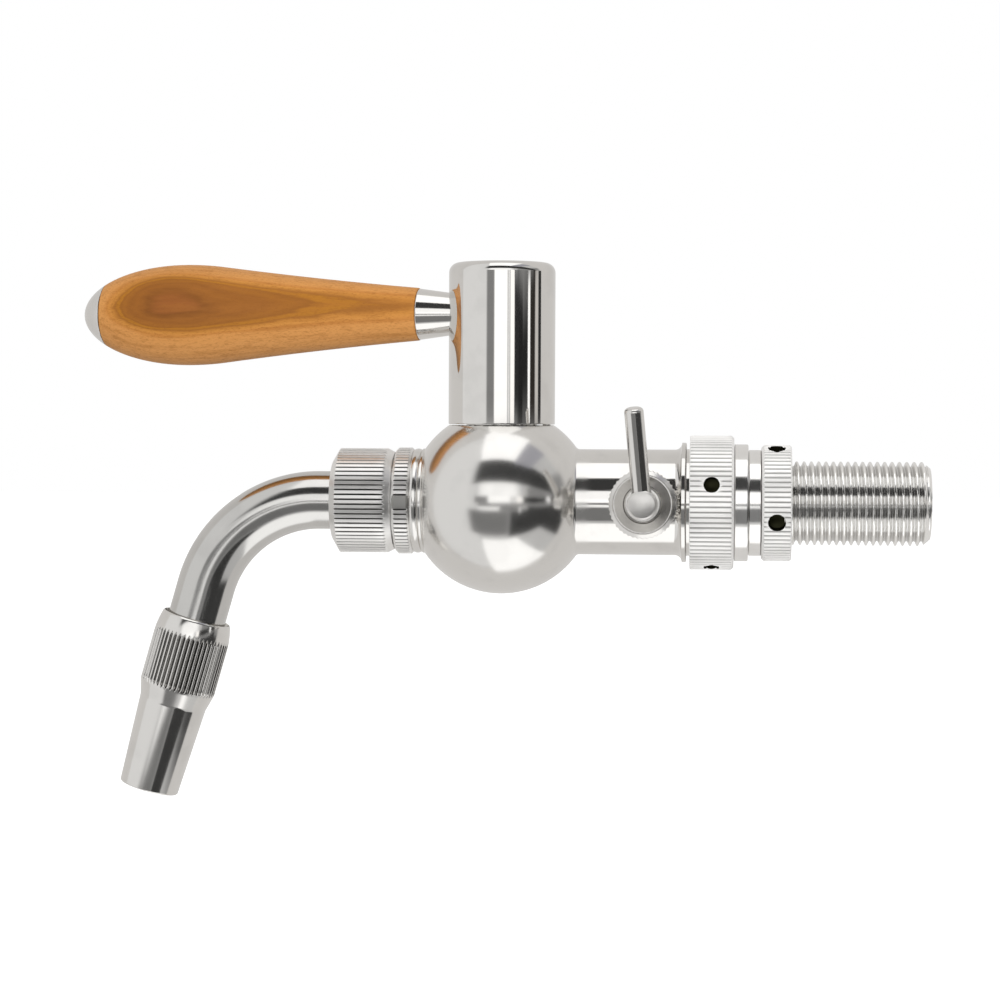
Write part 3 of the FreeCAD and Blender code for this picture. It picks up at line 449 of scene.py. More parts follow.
def steel(name, spindle, gloss, marks=0.0, grain=0.0, bright=STEEL, polish=None, cut_shade=None, metal=1.0):
    """Stainless steel with haze, and marks about its spindle where it was left as turned.

    polish is a station and the gloss that holds beyond it. The argument after polish paints shade into the cuts: it is
    how deep the darkest part of a cut lies, and how dark the painted shade is there. A blasted surface is less than
    wholly metal, because it also scatters light.
    """
    tree = Finish(name)
    offset, along, side, cross = tree.about(tree.place(), *spindle.axes())
    radius = tree.math("SQRT", side * side + cross * cross)
    haze = tree.noise(offset, HAZE_SCALE, 3.0)
    rings = tree.noise(tree.place_of(along, radius), RING_SCALE, 3.0, 0.7, "2D")
    pits = tree.noise(offset, PIT_SCALE, 3.0, 0.65)
    if polish:
        gloss = along.fit(polish[0] - POLISH_FADE, polish[0] + POLISH_FADE, gloss, polish[1])
    rough = gloss + (haze - 0.5) * (gloss * 0.5) + (rings - 0.5) * (marks * 0.3) + (pits - 0.5) * (grain * 0.3)
    height = (rings - 0.5) * marks + (pits - 0.5) * grain
    dull = tuple(HAZE_DULLS * part for part in bright[:3]) + (1.0,)
    colour = tree.blend(dull, bright, haze.fit(0.3, 0.55, 0.7, 1.0))
    # Painted shade in the cuts: the colour darkens towards near black where the rule took the most metal.
    if cut_shade:
        removed = tree.add("ShaderNodeAttribute", settings={"attribute_name": "removed"}, out="Fac")
        colour = tree.blend(colour, CUT_SHADE, removed.fit(0.0, cut_shade[0], 0.0, cut_shade[1]))
    return tree.principled(colour, rough, height, 1.0, MARK_DEPTH, {"Metallic": metal})


# Finishes given a pair for their cuts paint shade into their knurl valleys, grooves and thread roots.
buffed_body = steel("buffed_body", SHANK, 0.16, polish=(-50.0, 0.07))
buffed_spout = steel("buffed_spout", SHANK, 0.14, bright=SPOUT_GREY)
buffed_hub = steel("buffed_hub", STEM, 0.05)
buffed_ferrule = steel("buffed_ferrule", HANDLE, 0.09)
buffed_nozzle = steel("buffed_nozzle", NOZZLE, 0.13, cut_shade=(0.45, 0.6))
buffed_lever = steel("buffed_lever", LEVER, 0.12)
turned_cap = steel("turned_cap", HANDLE, 0.22, marks=0.5)
turned_front = steel("turned_front", SHANK, 0.36, marks=0.3, bright=PALE, cut_shade=(0.25, 0.92))
turned_rear = steel("turned_rear", SHANK, 0.42, grain=0.4, bright=WHITE_METAL, cut_shade=(0.3, 0.6), metal=0.5)
turned_ring = steel("turned_ring", SHANK, 0.12, marks=0.15, bright=PALE)
# The spanner holes' walls get near-black olive: painted shade for the inside of the holes.
hole_shade = steel("hole_shade", SHANK, 0.5, bright=HOLE_SHADE_OLIVE)
# Dull milled finish for the insert's facet; its dark colour is painted reflection, its roughness and grain are real.
milled_painted_dark = steel("milled_painted_dark", SHANK, 0.45, grain=0.6, bright=MILLED_PAINTED_DARK)
turned_lever = steel("turned_lever", LEVER, 0.22, marks=0.5, grain=0.3, cut_shade=(0.3, 0.7))
turned_head = steel("turned_head", LEVER, 0.3, marks=0.4)
turned_stem = steel("turned_stem", STEM, 0.2, marks=0.4)
turned_nozzle = steel("turned_nozzle", NOZZLE, 0.2, marks=0.4)
rolled_thread = steel("rolled_thread", SHANK, 0.14, bright=WHITE_METAL, cut_shade=(1.1, 0.3))
print("steel finishes", len(bpy.data.materials))

# %% [markdown]
# ## The globe
# The body is one turned forging: a short collar in front, the globe, a tube behind it and a flange that meets the
# coupling nut. Its top is milled flat for the hub, and two bosses stand on it, one for the stem and one for the flow
# lever. The outside is turned first and then bored, as in a workshop, because a Boolean between two closed shells
# keeps the smooth faces that it doesn't touch.

# %% Body
globe_r = 23.3
body_front = -22.1
front_collar_r = 13.2
bead_r = 1.5
bead_half_turn = 45
bead_sink = 0.1
bead_steps = (0.08, 0.2)
rear_tube_r = 13.25
rear_blend_r = 1.2
rear_flange_r = 15.0
rear_flange_len = 1.1
rear_flare_len = 1.8
rear_nut_gap = 0.9
tail_thread_r = 13.4
hub_land_z = 19.2
cavity_r = 11.6
seat_pocket_r = 9.45
seat_near = 6.5
seat_far = 12.5
cone_seat_r = 6.0
cone_seat_start = 18.5
cone_seat_end = 32.9
rear_bore_r = 9.8
stem_boss_r = 8.9
stem_boss_top = 25.0
stem_bore_r = 5.0
stuffing_r = 7.0
stuffing_floor = 16.0
lever_boss_r = 7.0
lever_boss_face = 15.6
lever_bore_r = 4.55
stop_circle_r = 11.35
stop_pin_sink = 2.7
stop_pin_r = 1.02
past = 1.0

body_tail = BALL.measure("valve_body")[1]
flange_face = BALL.measure("coupling_nut")[0] - rear_nut_gap


def body_outline():
    """Outside of the body, from pole to pole."""
    on_collar = math.degrees(math.asin(front_collar_r / globe_r))
    blend_rise = rear_tube_r + rear_blend_r
    blend_run = math.sqrt((globe_r + rear_blend_r) ** 2 - blend_rise ** 2)
    on_globe = math.degrees(math.atan2(blend_rise, blend_run))
    flare_start = flange_face - rear_flange_len - rear_flare_len
    rise = rear_flange_r - rear_tube_r
    flare_r = (rear_flare_len ** 2 + rise ** 2) / (2 * rise)
    sweep = math.degrees(math.asin(rear_flare_len / flare_r))
    bead_mid = body_front + bead_r * math.sin(math.radians(bead_half_turn))
    bead = arc((bead_mid, front_collar_r - bead_r), bead_r, 90 + bead_half_turn, 90 - bead_half_turn)
    near, far = [bead[-1][0] + step for step in bead_steps]
    sunk_r = bead[-1][1] - bead_sink
    outline = [(body_front, 0)] + bead + [(near, sunk_r, 0), (far, sunk_r, 0), (far, front_collar_r, bead_sink)]
    outline += arc((0, 0), globe_r, 180 - on_collar, on_globe, step_deg=1.5)
    outline += arc((blend_run, blend_rise), rear_blend_r, 180 + on_globe, 270)[1:]
    outline += arc((flare_start, rear_tube_r + flare_r), flare_r, 270, 270 + sweep)
    outline += [(flange_face, rear_flange_r, 0.3), (flange_face, tail_thread_r), (body_tail, tail_thread_r)]
    return rounded(outline + [(body_tail, 0)])


body = lathe("globe_body", BALL, body_outline(), buffed_body, even(FINE_ROUND))
carve(body, "DIFFERENCE", plug("above_land", STEM, hub_land_z, (2 * globe_r, 2 * globe_r)))
carve(body, "UNION",
      plug("stem_boss", STEM, stuffing_floor, (stem_boss_r, stem_boss_top), eased=True),
      plug("lever_boss", LEVER, cavity_r, (lever_boss_r, lever_boss_face), eased=True))
passage = lathe("passage", BALL, [(body_front - past, 0)] + stepped(
    body_front - past, (cavity_r, seat_near), (seat_pocket_r, seat_far), (cone_seat_r, cone_seat_start)) + [
    (cone_seat_end, rear_bore_r), (body_tail + past, rear_bore_r), (body_tail + past, 0)])
stem_bore = plug("stem_bore", STEM, 0, (stem_bore_r, stuffing_floor), (stuffing_r, stem_boss_top + past))
lever_bore = plug("lever_bore", LEVER, 0, (lever_bore_r, lever_boss_face + past))
stop_spindle = Spindle(STEM.point(0, stop_circle_r), STEM.way, STEM.side)
pin_hole = plug("pin_hole", stop_spindle, hub_land_z - stop_pin_sink, (stop_pin_r, hub_land_z + past), count=24)
carve(body, "DIFFERENCE", passage, stem_bore, lever_bore, pin_hole)
present(body, "tap_body", "valve_body")

# %% [markdown]
# ## Hub
# The upright barrel caps the stem and carries the handle. It is a plain cylinder with a rounded top edge, hollow
# inside to clear the stem's gland. An arc groove in its foot runs over a pin and stops the handle at both ends of
# its quarter turn. The ferrule seats on a small flat, which a Boolean mills into the round side.

# %% Hub barrel
hub_edge_r = 2.5
hub_room_r = 9.7
hub_room_top = 31.0
hub_bore_r = 4.52
hub_bore_top = 54.0
ferrule_seat_r = 5.25
ferrule_seat_slack = 0.2
stud_hole_r = 3.02
stop_groove_depth = 2.6
stop_half_w = 1.2
quarter = math.radians(90)

hub_foot, hub_top, hub_r = STEM.measure("hub")
spot_r = ferrule_seat_r + ferrule_seat_slack
ferrule_start = math.sqrt(hub_r ** 2 - spot_r ** 2)


def stop_groove():
    """Cutter for the stop groove: a kidney shape, a quarter turn long between two round ends."""
    slack = (stop_half_w - stop_pin_r) / stop_circle_r
    first, last = -handle_rest - slack, quarter - handle_rest + slack
    turns = [first + (last - first) * i / 24 for i in range(25)]
    halves = [math.pi * i / 12 for i in range(1, 12)]
    shell = bmesh.new()
    faces = []
    for z in (hub_foot - past, hub_foot + stop_groove_depth):
        tail, head = [Spindle(STEM.point(z, stop_circle_r, turn), STEM.way, STEM.side) for turn in (first, last)]
        ring = [STEM.point(z, stop_circle_r + stop_half_w, turn) for turn in turns]
        ring += [head.point(0, stop_half_w, last + half) for half in halves]
        ring += [STEM.point(z, stop_circle_r - stop_half_w, turn) for turn in reversed(turns)]
        ring += [tail.point(0, stop_half_w, first + math.pi + half) for half in halves]
        faces.append(shell.faces.new([shell.verts.new(place) for place in ring]))
    foot, top = [list(face.verts) for face in faces]
    for i in range(len(foot)):
        shell.faces.new((foot[i - 1], foot[i], top[i], top[i - 1]))
    return object_from(shell, "stop_groove")


hub = lathe("hub_barrel", STEM, rounded(
    [(hub_foot, hub_room_r), (hub_foot, hub_r, 0.25)]
    + arc((hub_top - hub_edge_r, hub_r - hub_edge_r), hub_edge_r, 90, 0) + [(hub_top, 0), (hub_bore_top, 0)]
    + stepped(hub_bore_top, (hub_bore_r, hub_room_top)) + [(hub_room_top, hub_room_r)]), buffed_hub,
    even(FINE_ROUND))
spot_face = plug("spot_face", HANDLE, ferrule_start, (spot_r, 2 * hub_r))
stud_hole = plug("stud_hole", HANDLE, 0, (stud_hole_r, 2 * hub_r), count=48)
carve(hub, "DIFFERENCE", spot_face, stud_hole, stop_groove())
present(hub, "handle", "hub")

# %% [markdown]
# ## Handle
# The handle is three turned pieces on one stud: a tapered steel ferrule, a wooden grip and a steel end cap. It could
# be one mesh with three materials, but real pieces meet in a fine line. The grip and the cap share one outline, so
# that the seam between them is only a hairline. Its end is an ellipse, its flank a taper that sags a little, and one
# curve blends the two.

# %% Grip, ferrule and cap
ferrule_grip_r = 6.5
grip_neck_r = 6.65
grip_crown = 82.4
grip_crown_r = 12.9
grip_blend = 4.35
grip_sag = 0.3
cap_spigot_r = 4.5
cap_socket_r = 4.52
cap_bore_end = 103.45
seam_r = 0.22
wood_start, wood_end, _ = HANDLE.measure("wood_grip")
spigot_foot, cap_tip, _ = HANDLE.measure("end_cap")
grip_end_reach = cap_tip - grip_crown


def grip_end(start, stop, steps):
    """Points on the elliptical end of the handle, from one station to another."""
    first = math.asin((start - grip_crown) / grip_end_reach)
    last = math.asin(min(1.0, (stop - grip_crown) / grip_end_reach))
    turns = [first + (last - first) * i / steps for i in range(steps + 1)]
    return [(grip_crown + grip_end_reach * math.sin(t), grip_crown_r * math.cos(t)) for t in turns]


def grip_outline():
    knee = grip_crown - grip_blend
    slope = (grip_crown_r - grip_neck_r) / (knee - wood_start)
    blend_run = grip_blend / math.hypot(1, slope)
    blend_start = (knee - blend_run, grip_crown_r - blend_run * slope)
    outline = [(wood_start, stud_hole_r), (wood_start, grip_neck_r, 0.3)]
    hollow = ((wood_start + blend_start[0]) / 2, (grip_neck_r + blend_start[1]) / 2 - 2 * grip_sag)
    outline += bezier((wood_start, grip_neck_r), hollow, blend_start, steps=8)[1:-1]
    outline += bezier(blend_start, (knee, grip_crown_r), (grip_crown, grip_crown_r))
    belly = grip_end(grip_crown, wood_end, 14)
    outline += belly[1:-1] + [belly[-1] + (seam_r,)]
    return rounded(outline + [(wood_end, cap_socket_r), (spigot_foot, cap_socket_r), (spigot_foot, stud_hole_r)])


grip = lathe("turned_grip", HANDLE, grip_outline())
ferrule = lathe("taper_ferrule", HANDLE, rounded([
    (ferrule_start, stud_hole_r), (ferrule_start, ferrule_seat_r), (wood_start, ferrule_grip_r, 0.3),
    (wood_start, stud_hole_r)]), buffed_ferrule)
dome = grip_end(wood_end, cap_tip, 20)
cap = lathe("dome_cap", HANDLE, rounded(
    [(cap_bore_end, 0)] + stepped(cap_bore_end, (stud_hole_r, spigot_foot), (cap_spigot_r, wood_end))
    + [dome[0] + (seam_r,)] + dome[1:-1] + [(cap_tip, 0)]), turned_cap)
present(ferrule, "handle", "ferrule")
present(cap, "handle", "end_cap")

# %% [markdown]
# ## Oiled wood
# The grip was turned from a plank. Its growth rings are nearly straight shells about a pith far behind the handle,
# and the turned surface slices through them. That alone draws the long ovals on the belly and the flames towards the
# neck, so the shader reckons the depth below the outermost shell, lets noise bend it, and colours each ring by its
# depth. Short dark dashes are the pores.

# %% Wood finish
plank_turn = math.radians(13)
neck_slope = 0.0745
neck_slope_start = 8.0
tip_slope = 0.02
wander_depth = 1.1
ripple_depth = 0.4
PORE_TINT = (0.22, 0.075, 0.015, 1)
MOTTLE_TINT = (0.30, 0.11, 0.02, 1)
STREAK_TINT = (0.34, 0.125, 0.022, 1)
SEAM_TINT = (0.05, 0.035, 0.02, 1)

# Each ring's depth below the crown, from the flank in to the heart, and its colour. The colours run from pale
# on the flanks to dark at the heart, so the grip comes out darker on its front than above, below and behind.
growth_rings = [
    (-6.0, (0.63, 0.295, 0.092, 1)), (-3.5, (0.60, 0.272, 0.076, 1)), (-3.0, (0.50, 0.205, 0.046, 1)),
    (-2.7, (0.54, 0.232, 0.049, 1)), (-2.35, (0.47, 0.195, 0.035, 1)), (-2.08, (0.30, 0.113, 0.018, 1)),
    (-1.98, (0.38, 0.15, 0.016, 1)), (-1.8, (0.38, 0.148, 0.016, 1)), (-1.68, (0.265, 0.096, 0.014, 1)),
    (-1.45, (0.305, 0.112, 0.016, 1)), (-1.1, (0.25, 0.088, 0.014, 1)), (-0.8, (0.27, 0.096, 0.015, 1)),
    (-0.42, (0.195, 0.066, 0.011, 1)), (-0.2, (0.25, 0.082, 0.017, 1)), (0.6, (0.31, 0.097, 0.024, 1))]


def oiled_wood():
    tree = Finish("oiled_wood")
    offset, along, up, back = tree.about(tree.place(), *HANDLE.axes())
    drawn = tree.place_of(along * 0.12, up, back)
    wander = tree.noise(drawn, 0.16, 2.0) - 0.5
    ripple = tree.noise(drawn, 0.8, 2.0, 0.5) - 0.5
    shell = up * math.sin(plank_turn) - back * math.cos(plank_turn) - grip_crown_r
    to_tip = tree.math("MAXIMUM", along - grip_crown, 0.0)
    to_neck = tree.math("MAXIMUM", grip_crown - neck_slope_start - along, 0.0)
    depth = shell + to_tip * tip_slope + to_neck * neck_slope + wander * wander_depth + ripple * ripple_depth
    low, high = growth_rings[0][0], growth_rings[-1][0]
    stops = [((ring_depth - low) / (high - low), colour) for ring_depth, colour in growth_rings]
    colour = tree.add("ShaderNodeValToRGB", {0: depth.fit(low, high, kind="LINEAR")}, {"stops": stops})
    streaks = tree.noise(tree.place_of(along * 0.02, depth, up * 0.3), 1.1, 3.0, 0.6).fit(0.45, 0.7)
    stretched = tree.place_of(along * 0.3, up, back)
    dashes = tree.noise(stretched, 3.6, 2.0, 0.7).fit(0.5, 0.68)
    mottle = tree.noise(stretched, 0.9, 3.0, 0.65).fit(0.45, 0.75)
    seam = along.fit(wood_end - 0.4, wood_end - 0.15)
    for tint, share in ((STREAK_TINT, streaks * 0.35), (MOTTLE_TINT, mottle * 0.35), (PORE_TINT, dashes * 0.3),
                        (SEAM_TINT, seam * 0.9)):
        colour = tree.blend(colour, tint, share)
    return tree.principled(colour, 0.5 + dashes * 0.15, 1 - dashes, 0.5, 0.04, {"Specular IOR Level": 0.15})


grip.data.materials.append(oiled_wood())
present(grip, "handle", "wood_grip")

# %% [markdown]
# ## Rules for teeth, grooves and threads
# A knurled nut, the grooved waist of the nozzle and the screw thread each follow a rule: at a given angle and station
# the cutter reaches a given radius, and the metal is never outside it. Geometry Nodes apply such a rule to a smooth
# blank from the lathe. Each rule has named inputs, so that one tree serves every nut.

# %% The common part of the rules


class CutterRule(Tree):
    """A Geometry Nodes tree that pulls a blank in to where a cutter has been."""

    def __init__(self, name, *sizes):
        self.group = bpy.data.node_groups.new(name, "GeometryNodeTree")
        super().__init__(self.group)
        axes = ("Foot", "Way", "Side", "Cross")
        sockets = {"Blank": "Geometry", "Finish": "Material", **dict.fromkeys(axes, "Vector")}
        sockets.update(dict.fromkeys(sizes, "Float"))
        for label, kind in sockets.items():
            self.group.interface.new_socket(label, in_out="INPUT", socket_type="NodeSocket" + kind)
        self.group.interface.new_socket("Piece", in_out="OUTPUT", socket_type="NodeSocketGeometry")
        place = self.add("GeometryNodeInputPosition")
        self.offset, self.along, side, cross = self.about(place, *[self.input(label) for label in axes])
        self.radius = self.math("SQRT", side * side + cross * cross)
        self.turns = self.math("ARCTAN2", cross, side) / math.tau

    def input(self, label):
        return self.add("NodeGroupInput", out=label)

    def cut_to(self, reach):
        """Move every point of the blank in to the radius that the cutter reached, and end the tree.

        How much metal went is noted on the points, because the steel finishes paint shade into the cuts by that depth.
        """
        shrink = self.math("MINIMUM", 1.0, reach / self.math("MAXIMUM", self.radius, 0.01))
        axial = self.grow(self.input("Way"), self.along)
        radial = self.grow(self.vector("SUBTRACT", self.offset, axial), shrink)
        moved = self.grow(self.vector("ADD", axial, radial), MM)
        place = self.vector("ADD", self.input("Foot"), moved)
        noted = self.add("GeometryNodeStoreNamedAttribute", {
            "Geometry": self.input("Blank"), "Name": "removed", "Value": self.radius * (1 - shrink)},
            {"data_type": "FLOAT"})
        shape = self.add("GeometryNodeSetPosition", {"Geometry": noted, "Position": place})
        real = self.add("GeometryNodeRealizeInstances", {"Geometry": shape})
        done = self.add("GeometryNodeSetMaterial", {"Geometry": real, "Material": self.input("Finish")})
        self.add("NodeGroupOutput", {"Piece": done})


def cut_piece(name, spindle, outline, angles, rule, finish, sizes):
    """Turn a blank, run a rule over it, and keep the result as plain mesh."""
    piece = lathe(name, spindle, outline, None, angles)
    step = piece.modifiers.new("rule", "NODES")
    step.node_group = rule.group
    given = {"Foot": spindle.foot, "Way": spindle.way, "Side": spindle.side, "Cross": spindle.cross, "Finish": finish}
    given.update(sizes)
    for item in rule.group.interface.items_tree:
        if item.in_out == "INPUT" and item.name in given:
            step[item.identifier] = given[item.name]
    bake(piece)
    return piece


# %% Knurling rule
knurling = CutterRule("knurling", "Teeth", "Tip radius", "Depth", "Land", "Plain ridge")
tooth = knurling.turns * knurling.input("Teeth")
land = knurling.input("Land")
into_valley = knurling.math("MAXIMUM", knurling.off_whole(tooth) * 2 - land, 0.0) / (1 - land)
plain = knurling.math("LESS_THAN", knurling.math("ABSOLUTE", tooth), knurling.input("Plain ridge"))
knurling.cut_to(knurling.input("Tip radius") - into_valley * knurling.input("Depth") * (1 - plain))

SHARP_PHASES = (0, 0.06, 0.16, 0.28, 0.4, 0.46, 0.5, 0.54, 0.6, 0.72, 0.84, 0.94)
LAND_PHASES = (0, 0.15, 0.27, 0.3, 0.36, 0.44, 0.5, 0.56, 0.64, 0.7, 0.73, 0.85)
REAR_PHASES = (0, 0.1, 0.19, 0.21, 0.3, 0.42, 0.48, 0.5, 0.52, 0.58, 0.7, 0.79, 0.81, 0.9)


def knurled_side(start, end, radius, first, last, counts):
    """Outside of a knurled piece between a first and a last bevel, each given as its run and its drop."""
    corners = [(start, radius - first[1]), (start + first[0], radius)]
    corners += [(end - last[0], radius), (end, radius - last[1])]
    side = []
    for a, b, count in zip(corners, corners[1:], counts):
        side += run(a, b, count)
    return side + corners[-1:]


def knurled(name, spindle, outline, finish, teeth, phases, tip_r, depth, share=0.0, ridge=0.0):
    """Knurl a blank; share is how much of a tooth stays round, ridge half the width of a plain spot, in teeth."""
    return cut_piece(name, spindle, outline, toothed(teeth, phases), knurling, finish, {
        "Teeth": teeth, "Tip radius": tip_r, "Depth": depth, "Land": share, "Plain ridge": ridge})


# %% [markdown]
# ## Front insert and spout nut
# The insert screws into the mouth of the globe and holds the ball. Only its narrow rim shows, knurled but for one
# facet. The nut in front of it pulls the spout against the insert. A rule can only move points that are there, so
# both blanks carry extra rings across their bevels, where the valleys run out. The facet needs no cut: the rule
# leaves that spot plain, and its faces get the dull look of a milled flat, with a dark colour that paints in the
# darker reflection that the flat shows.

# %% Front insert
rim_start = 22.1
insert_rim_r = 13.45
insert_rim_len = 4.3
insert_rim_edge = 0.6
insert_teeth = 68
front_knurl_depth = 0.35
front_knurl_land = 0.6
insert_bore_r = 5.8
insert_boss_r = 11.0
insert_thread_r = 11.55
insert_groove_floor = 10.34
insert_groove = (18.57, 19.83)
facet_ridge = 1.05
insert_back, insert_front, _ = FRONT.measure("front_insert")
rim_end = rim_start + insert_rim_len
rim_foot_r = insert_rim_r - insert_rim_edge

insert_outline = rounded(
    [(insert_back, seat_pocket_r)]
    + stepped(insert_back, (insert_thread_r, insert_groove[0]), (insert_groove_floor, insert_groove[1]))
    + [(insert_groove[1], insert_thread_r), (rim_start, insert_thread_r, 0)])
insert_bevel = (insert_rim_edge, insert_rim_edge)
insert_outline += knurled_side(rim_start, rim_end, insert_rim_r, insert_bevel, insert_bevel, (7, 4, 7))[:-1]
insert_outline += rounded(
    [(rim_end, rim_foot_r, 0)] + stepped(rim_end, (insert_boss_r, insert_front), (insert_bore_r, seat_far))
    + [(seat_far, seat_pocket_r, 0)])
insert = knurled("insert_ring", FRONT, insert_outline, turned_front, insert_teeth, LAND_PHASES, insert_rim_r,
                 front_knurl_depth, front_knurl_land, facet_ridge)
# The facet's faces get the milled finish, whose dark colour paints a darker reflection on the flat.
insert.data.materials.append(milled_painted_dark)
facet_half_w = insert_rim_r * math.sin(math.tau * (facet_ridge + front_knurl_land / 2) / insert_teeth)
for face in insert.data.polygons:
    spot = (face.center - FRONT.foot) / MM
    if spot.dot(FRONT.side) > rim_foot_r and abs(spot.dot(FRONT.cross)) < facet_half_w:
        face.material_index = 1
present(insert, "tap_body", "front_insert")

# %% Spout nut
spout_nut_r = 13.2
spout_nut_teeth = 67
spout_nut_lip_len = 3.5
spout_nut_room_r = 11.05
spout_lip_r = 7.45
spout_back_bevel = (1.9, 1.0)
spout_front_bevel = (1.8, 3.0)
nut_back, nut_front, _ = FRONT.measure("spout_nut")
nut_lip = nut_front - spout_nut_lip_len
nut_outline = rounded(stepped(nut_front, (spout_lip_r, nut_lip), (spout_nut_room_r, nut_back)))
nut_outline += knurled_side(nut_back, nut_front, spout_nut_r, spout_back_bevel, spout_front_bevel, (12, 6, 16))
spout_nut = knurled("knurled_spout_nut", FRONT, nut_outline, turned_front, spout_nut_teeth, LAND_PHASES, spout_nut_r,
                    front_knurl_depth, front_knurl_land)
present(spout_nut, "spout_nut", "spout_nut")

# %% [markdown]
# ## Spout
# The spout is one bent tube with a flange that the nut pulls against the body. It could be a curve with a bevel, but
# a spindle that bends does more: the lathe can turn a flange and a groove on it as on a straight bar.

# %% Bent spindle
spout_bend_r = 30.5
spout_corner = 69.2


class BentSpindle(Spindle):
    """A spindle with one bend, after which it runs on in the nozzle's direction."""

    def __init__(self, straight, after, corner, bend_r):
        super().__init__(straight.foot, straight.way, straight.side)
        self.turn = straight.way.angle(after.way)
        self.bend_r = bend_r
        self.bend_start = corner - bend_r * math.tan(self.turn / 2)
        self.bend_end = self.bend_start + bend_r * self.turn
        self.inward = (after.way - straight.way * after.way.dot(straight.way)).normalized()

    def point(self, station, radius=0.0, angle=0.0):
        turned = min(max(station - self.bend_start, 0.0) / self.bend_r, self.turn)
        way = self.way * math.cos(turned) + self.inward * math.sin(turned)
        inward = self.inward * math.cos(turned) - self.way * math.sin(turned)
        place = self.way * self.bend_start + (self.inward - inward) * self.bend_r
        place += way * (min(station - self.bend_start, 0.0) + max(station - self.bend_end, 0.0))
        off = self.side * math.cos(angle) + way.cross(self.side) * math.sin(angle)
        return self.foot + (place + off * radius) * MM


spout_r = 7.35
spout_bore_r = 6.0
spout_flange_r = 10.7
spout_flange_len = 2.15
spout_flange_play = 0.1
tube_in_nozzle = 11.0
nozzle_oring_at = 6.0
oring_groove_half_w = 0.51
oring_groove_floor = 6.38
bend_steps = 60
BENT = BentSpindle(FRONT, NOZZLE, spout_corner, spout_bend_r)
nozzle_from_corner = (NOZZLE.foot - FRONT.point(spout_corner)).length / MM
nozzle_station = BENT.bend_end + nozzle_from_corner - spout_bend_r * math.tan(BENT.turn / 2)
tube_end = nozzle_station + tube_in_nozzle
oring_start = nozzle_station + nozzle_oring_at - oring_groove_half_w
oring_end = nozzle_station + nozzle_oring_at + oring_groove_half_w
flange_front = nut_lip - spout_flange_play
flange_back = flange_front - spout_flange_len
bend = [BENT.bend_start + spout_bend_r * BENT.turn * i / bend_steps for i in range(bend_steps + 1)]

tube_outline = rounded(
    [(flange_back, spout_bore_r)] + stepped(flange_back, (spout_flange_r, flange_front)) + [(flange_front, spout_r)]
    + [(station, spout_r) for station in bend] + [(oring_start, spout_r)]
    + stepped(oring_start, (oring_groove_floor, oring_end), (spout_r, tube_end)) + [(tube_end, spout_bore_r)]
    + [(station, spout_bore_r) for station in reversed(bend)])
tube = lathe("bent_spout", BENT, tube_outline, buffed_spout, even(128))
present(tube, "spout", "spout_tube")
print("spout bends from", round(BENT.bend_start, 2), "to", round(BENT.bend_end, 2), "nozzle", round(nozzle_station, 2))

# %% [markdown]
# ## Nozzle
# The nozzle has a smooth rim, a waist with fifty V grooves to grip and a long cone. A groove starts as a point,
# because the cutter sinks in on a slope, and it runs out as the cutter is drawn back before the waist falls away. The
# rule says just that: how deep the keel of the cutter is at each station, and how its flanks rise to both sides.

# %% Groove rule and nozzle
grooving = CutterRule("grooving", "Grooves", "Keel radius", "Lead", "Full depth", "Finish station", "Rise", "Flank")
off_keel = grooving.off_whole(grooving.turns * grooving.input("Grooves")) / grooving.input("Grooves")
sideways = grooving.math("SINE", off_keel * math.tau) * grooving.radius
sunk = grooving.along.fit(grooving.input("Lead"), grooving.input("Full depth"), grooving.input("Rise"), 0.0, "LINEAR")
beyond = grooving.math("MAXIMUM", grooving.along - grooving.input("Finish station"), 0.0) / 2
grooving.cut_to(grooving.input("Keel radius") + sunk + beyond + sideways * grooving.input("Flank"))

nozzle_rim_r = 8.8
nozzle_rim_edge = 0.3
nozzle_swell = 3.4
waist_r = 9.65
waist_start = 6.2
waist_end = 18.4
cone_start = 22.7
cone_r = 8.55
fall_edge = 0.5
nozzle_end_r = 7.55
nozzle_socket_r = 7.4
nozzle_socket_len = 14.2
nozzle_throat_len = 10.0
nozzle_throat_r = 6.25
nozzle_bore_r = 6.2
groove_count = 50
groove_w = 0.85
groove_depth = 0.55
groove_start = 3.6
groove_run = 1.2
groove_finish = 17.8
GROOVE_PHASES = (0, 0.06, 0.14, 0.22, 0.29, 0.31, 0.4, 0.5, 0.6, 0.69, 0.71, 0.78, 0.86, 0.94)
_, nozzle_len, _ = NOZZLE.measure("nozzle")

fall_drop = fall_edge * (waist_r - cone_r) / (cone_start - waist_end)
fall = bezier((waist_end - fall_edge, waist_r), (waist_end, waist_r), (waist_end + fall_edge, waist_r - fall_drop),
              steps=10)
nozzle_outline = [(0, nozzle_rim_r - nozzle_rim_edge)]
nozzle_outline += bezier((nozzle_rim_edge, nozzle_rim_r), (nozzle_swell, waist_r), (waist_start, waist_r), steps=26)
nozzle_outline += run((waist_start, waist_r), fall[0], 16)[1:] + fall
nozzle_outline += run(fall[-1], (cone_start, cone_r), 12)[1:] + [(cone_start, cone_r)]
nozzle_outline += rounded([
    (cone_start + 0.3, cone_r), (nozzle_len, nozzle_end_r, 0.45), (nozzle_len, nozzle_bore_r),
    (nozzle_socket_len + nozzle_throat_len, nozzle_bore_r), (nozzle_socket_len, nozzle_throat_r),
    (nozzle_socket_len, nozzle_socket_r), (0, nozzle_socket_r)])
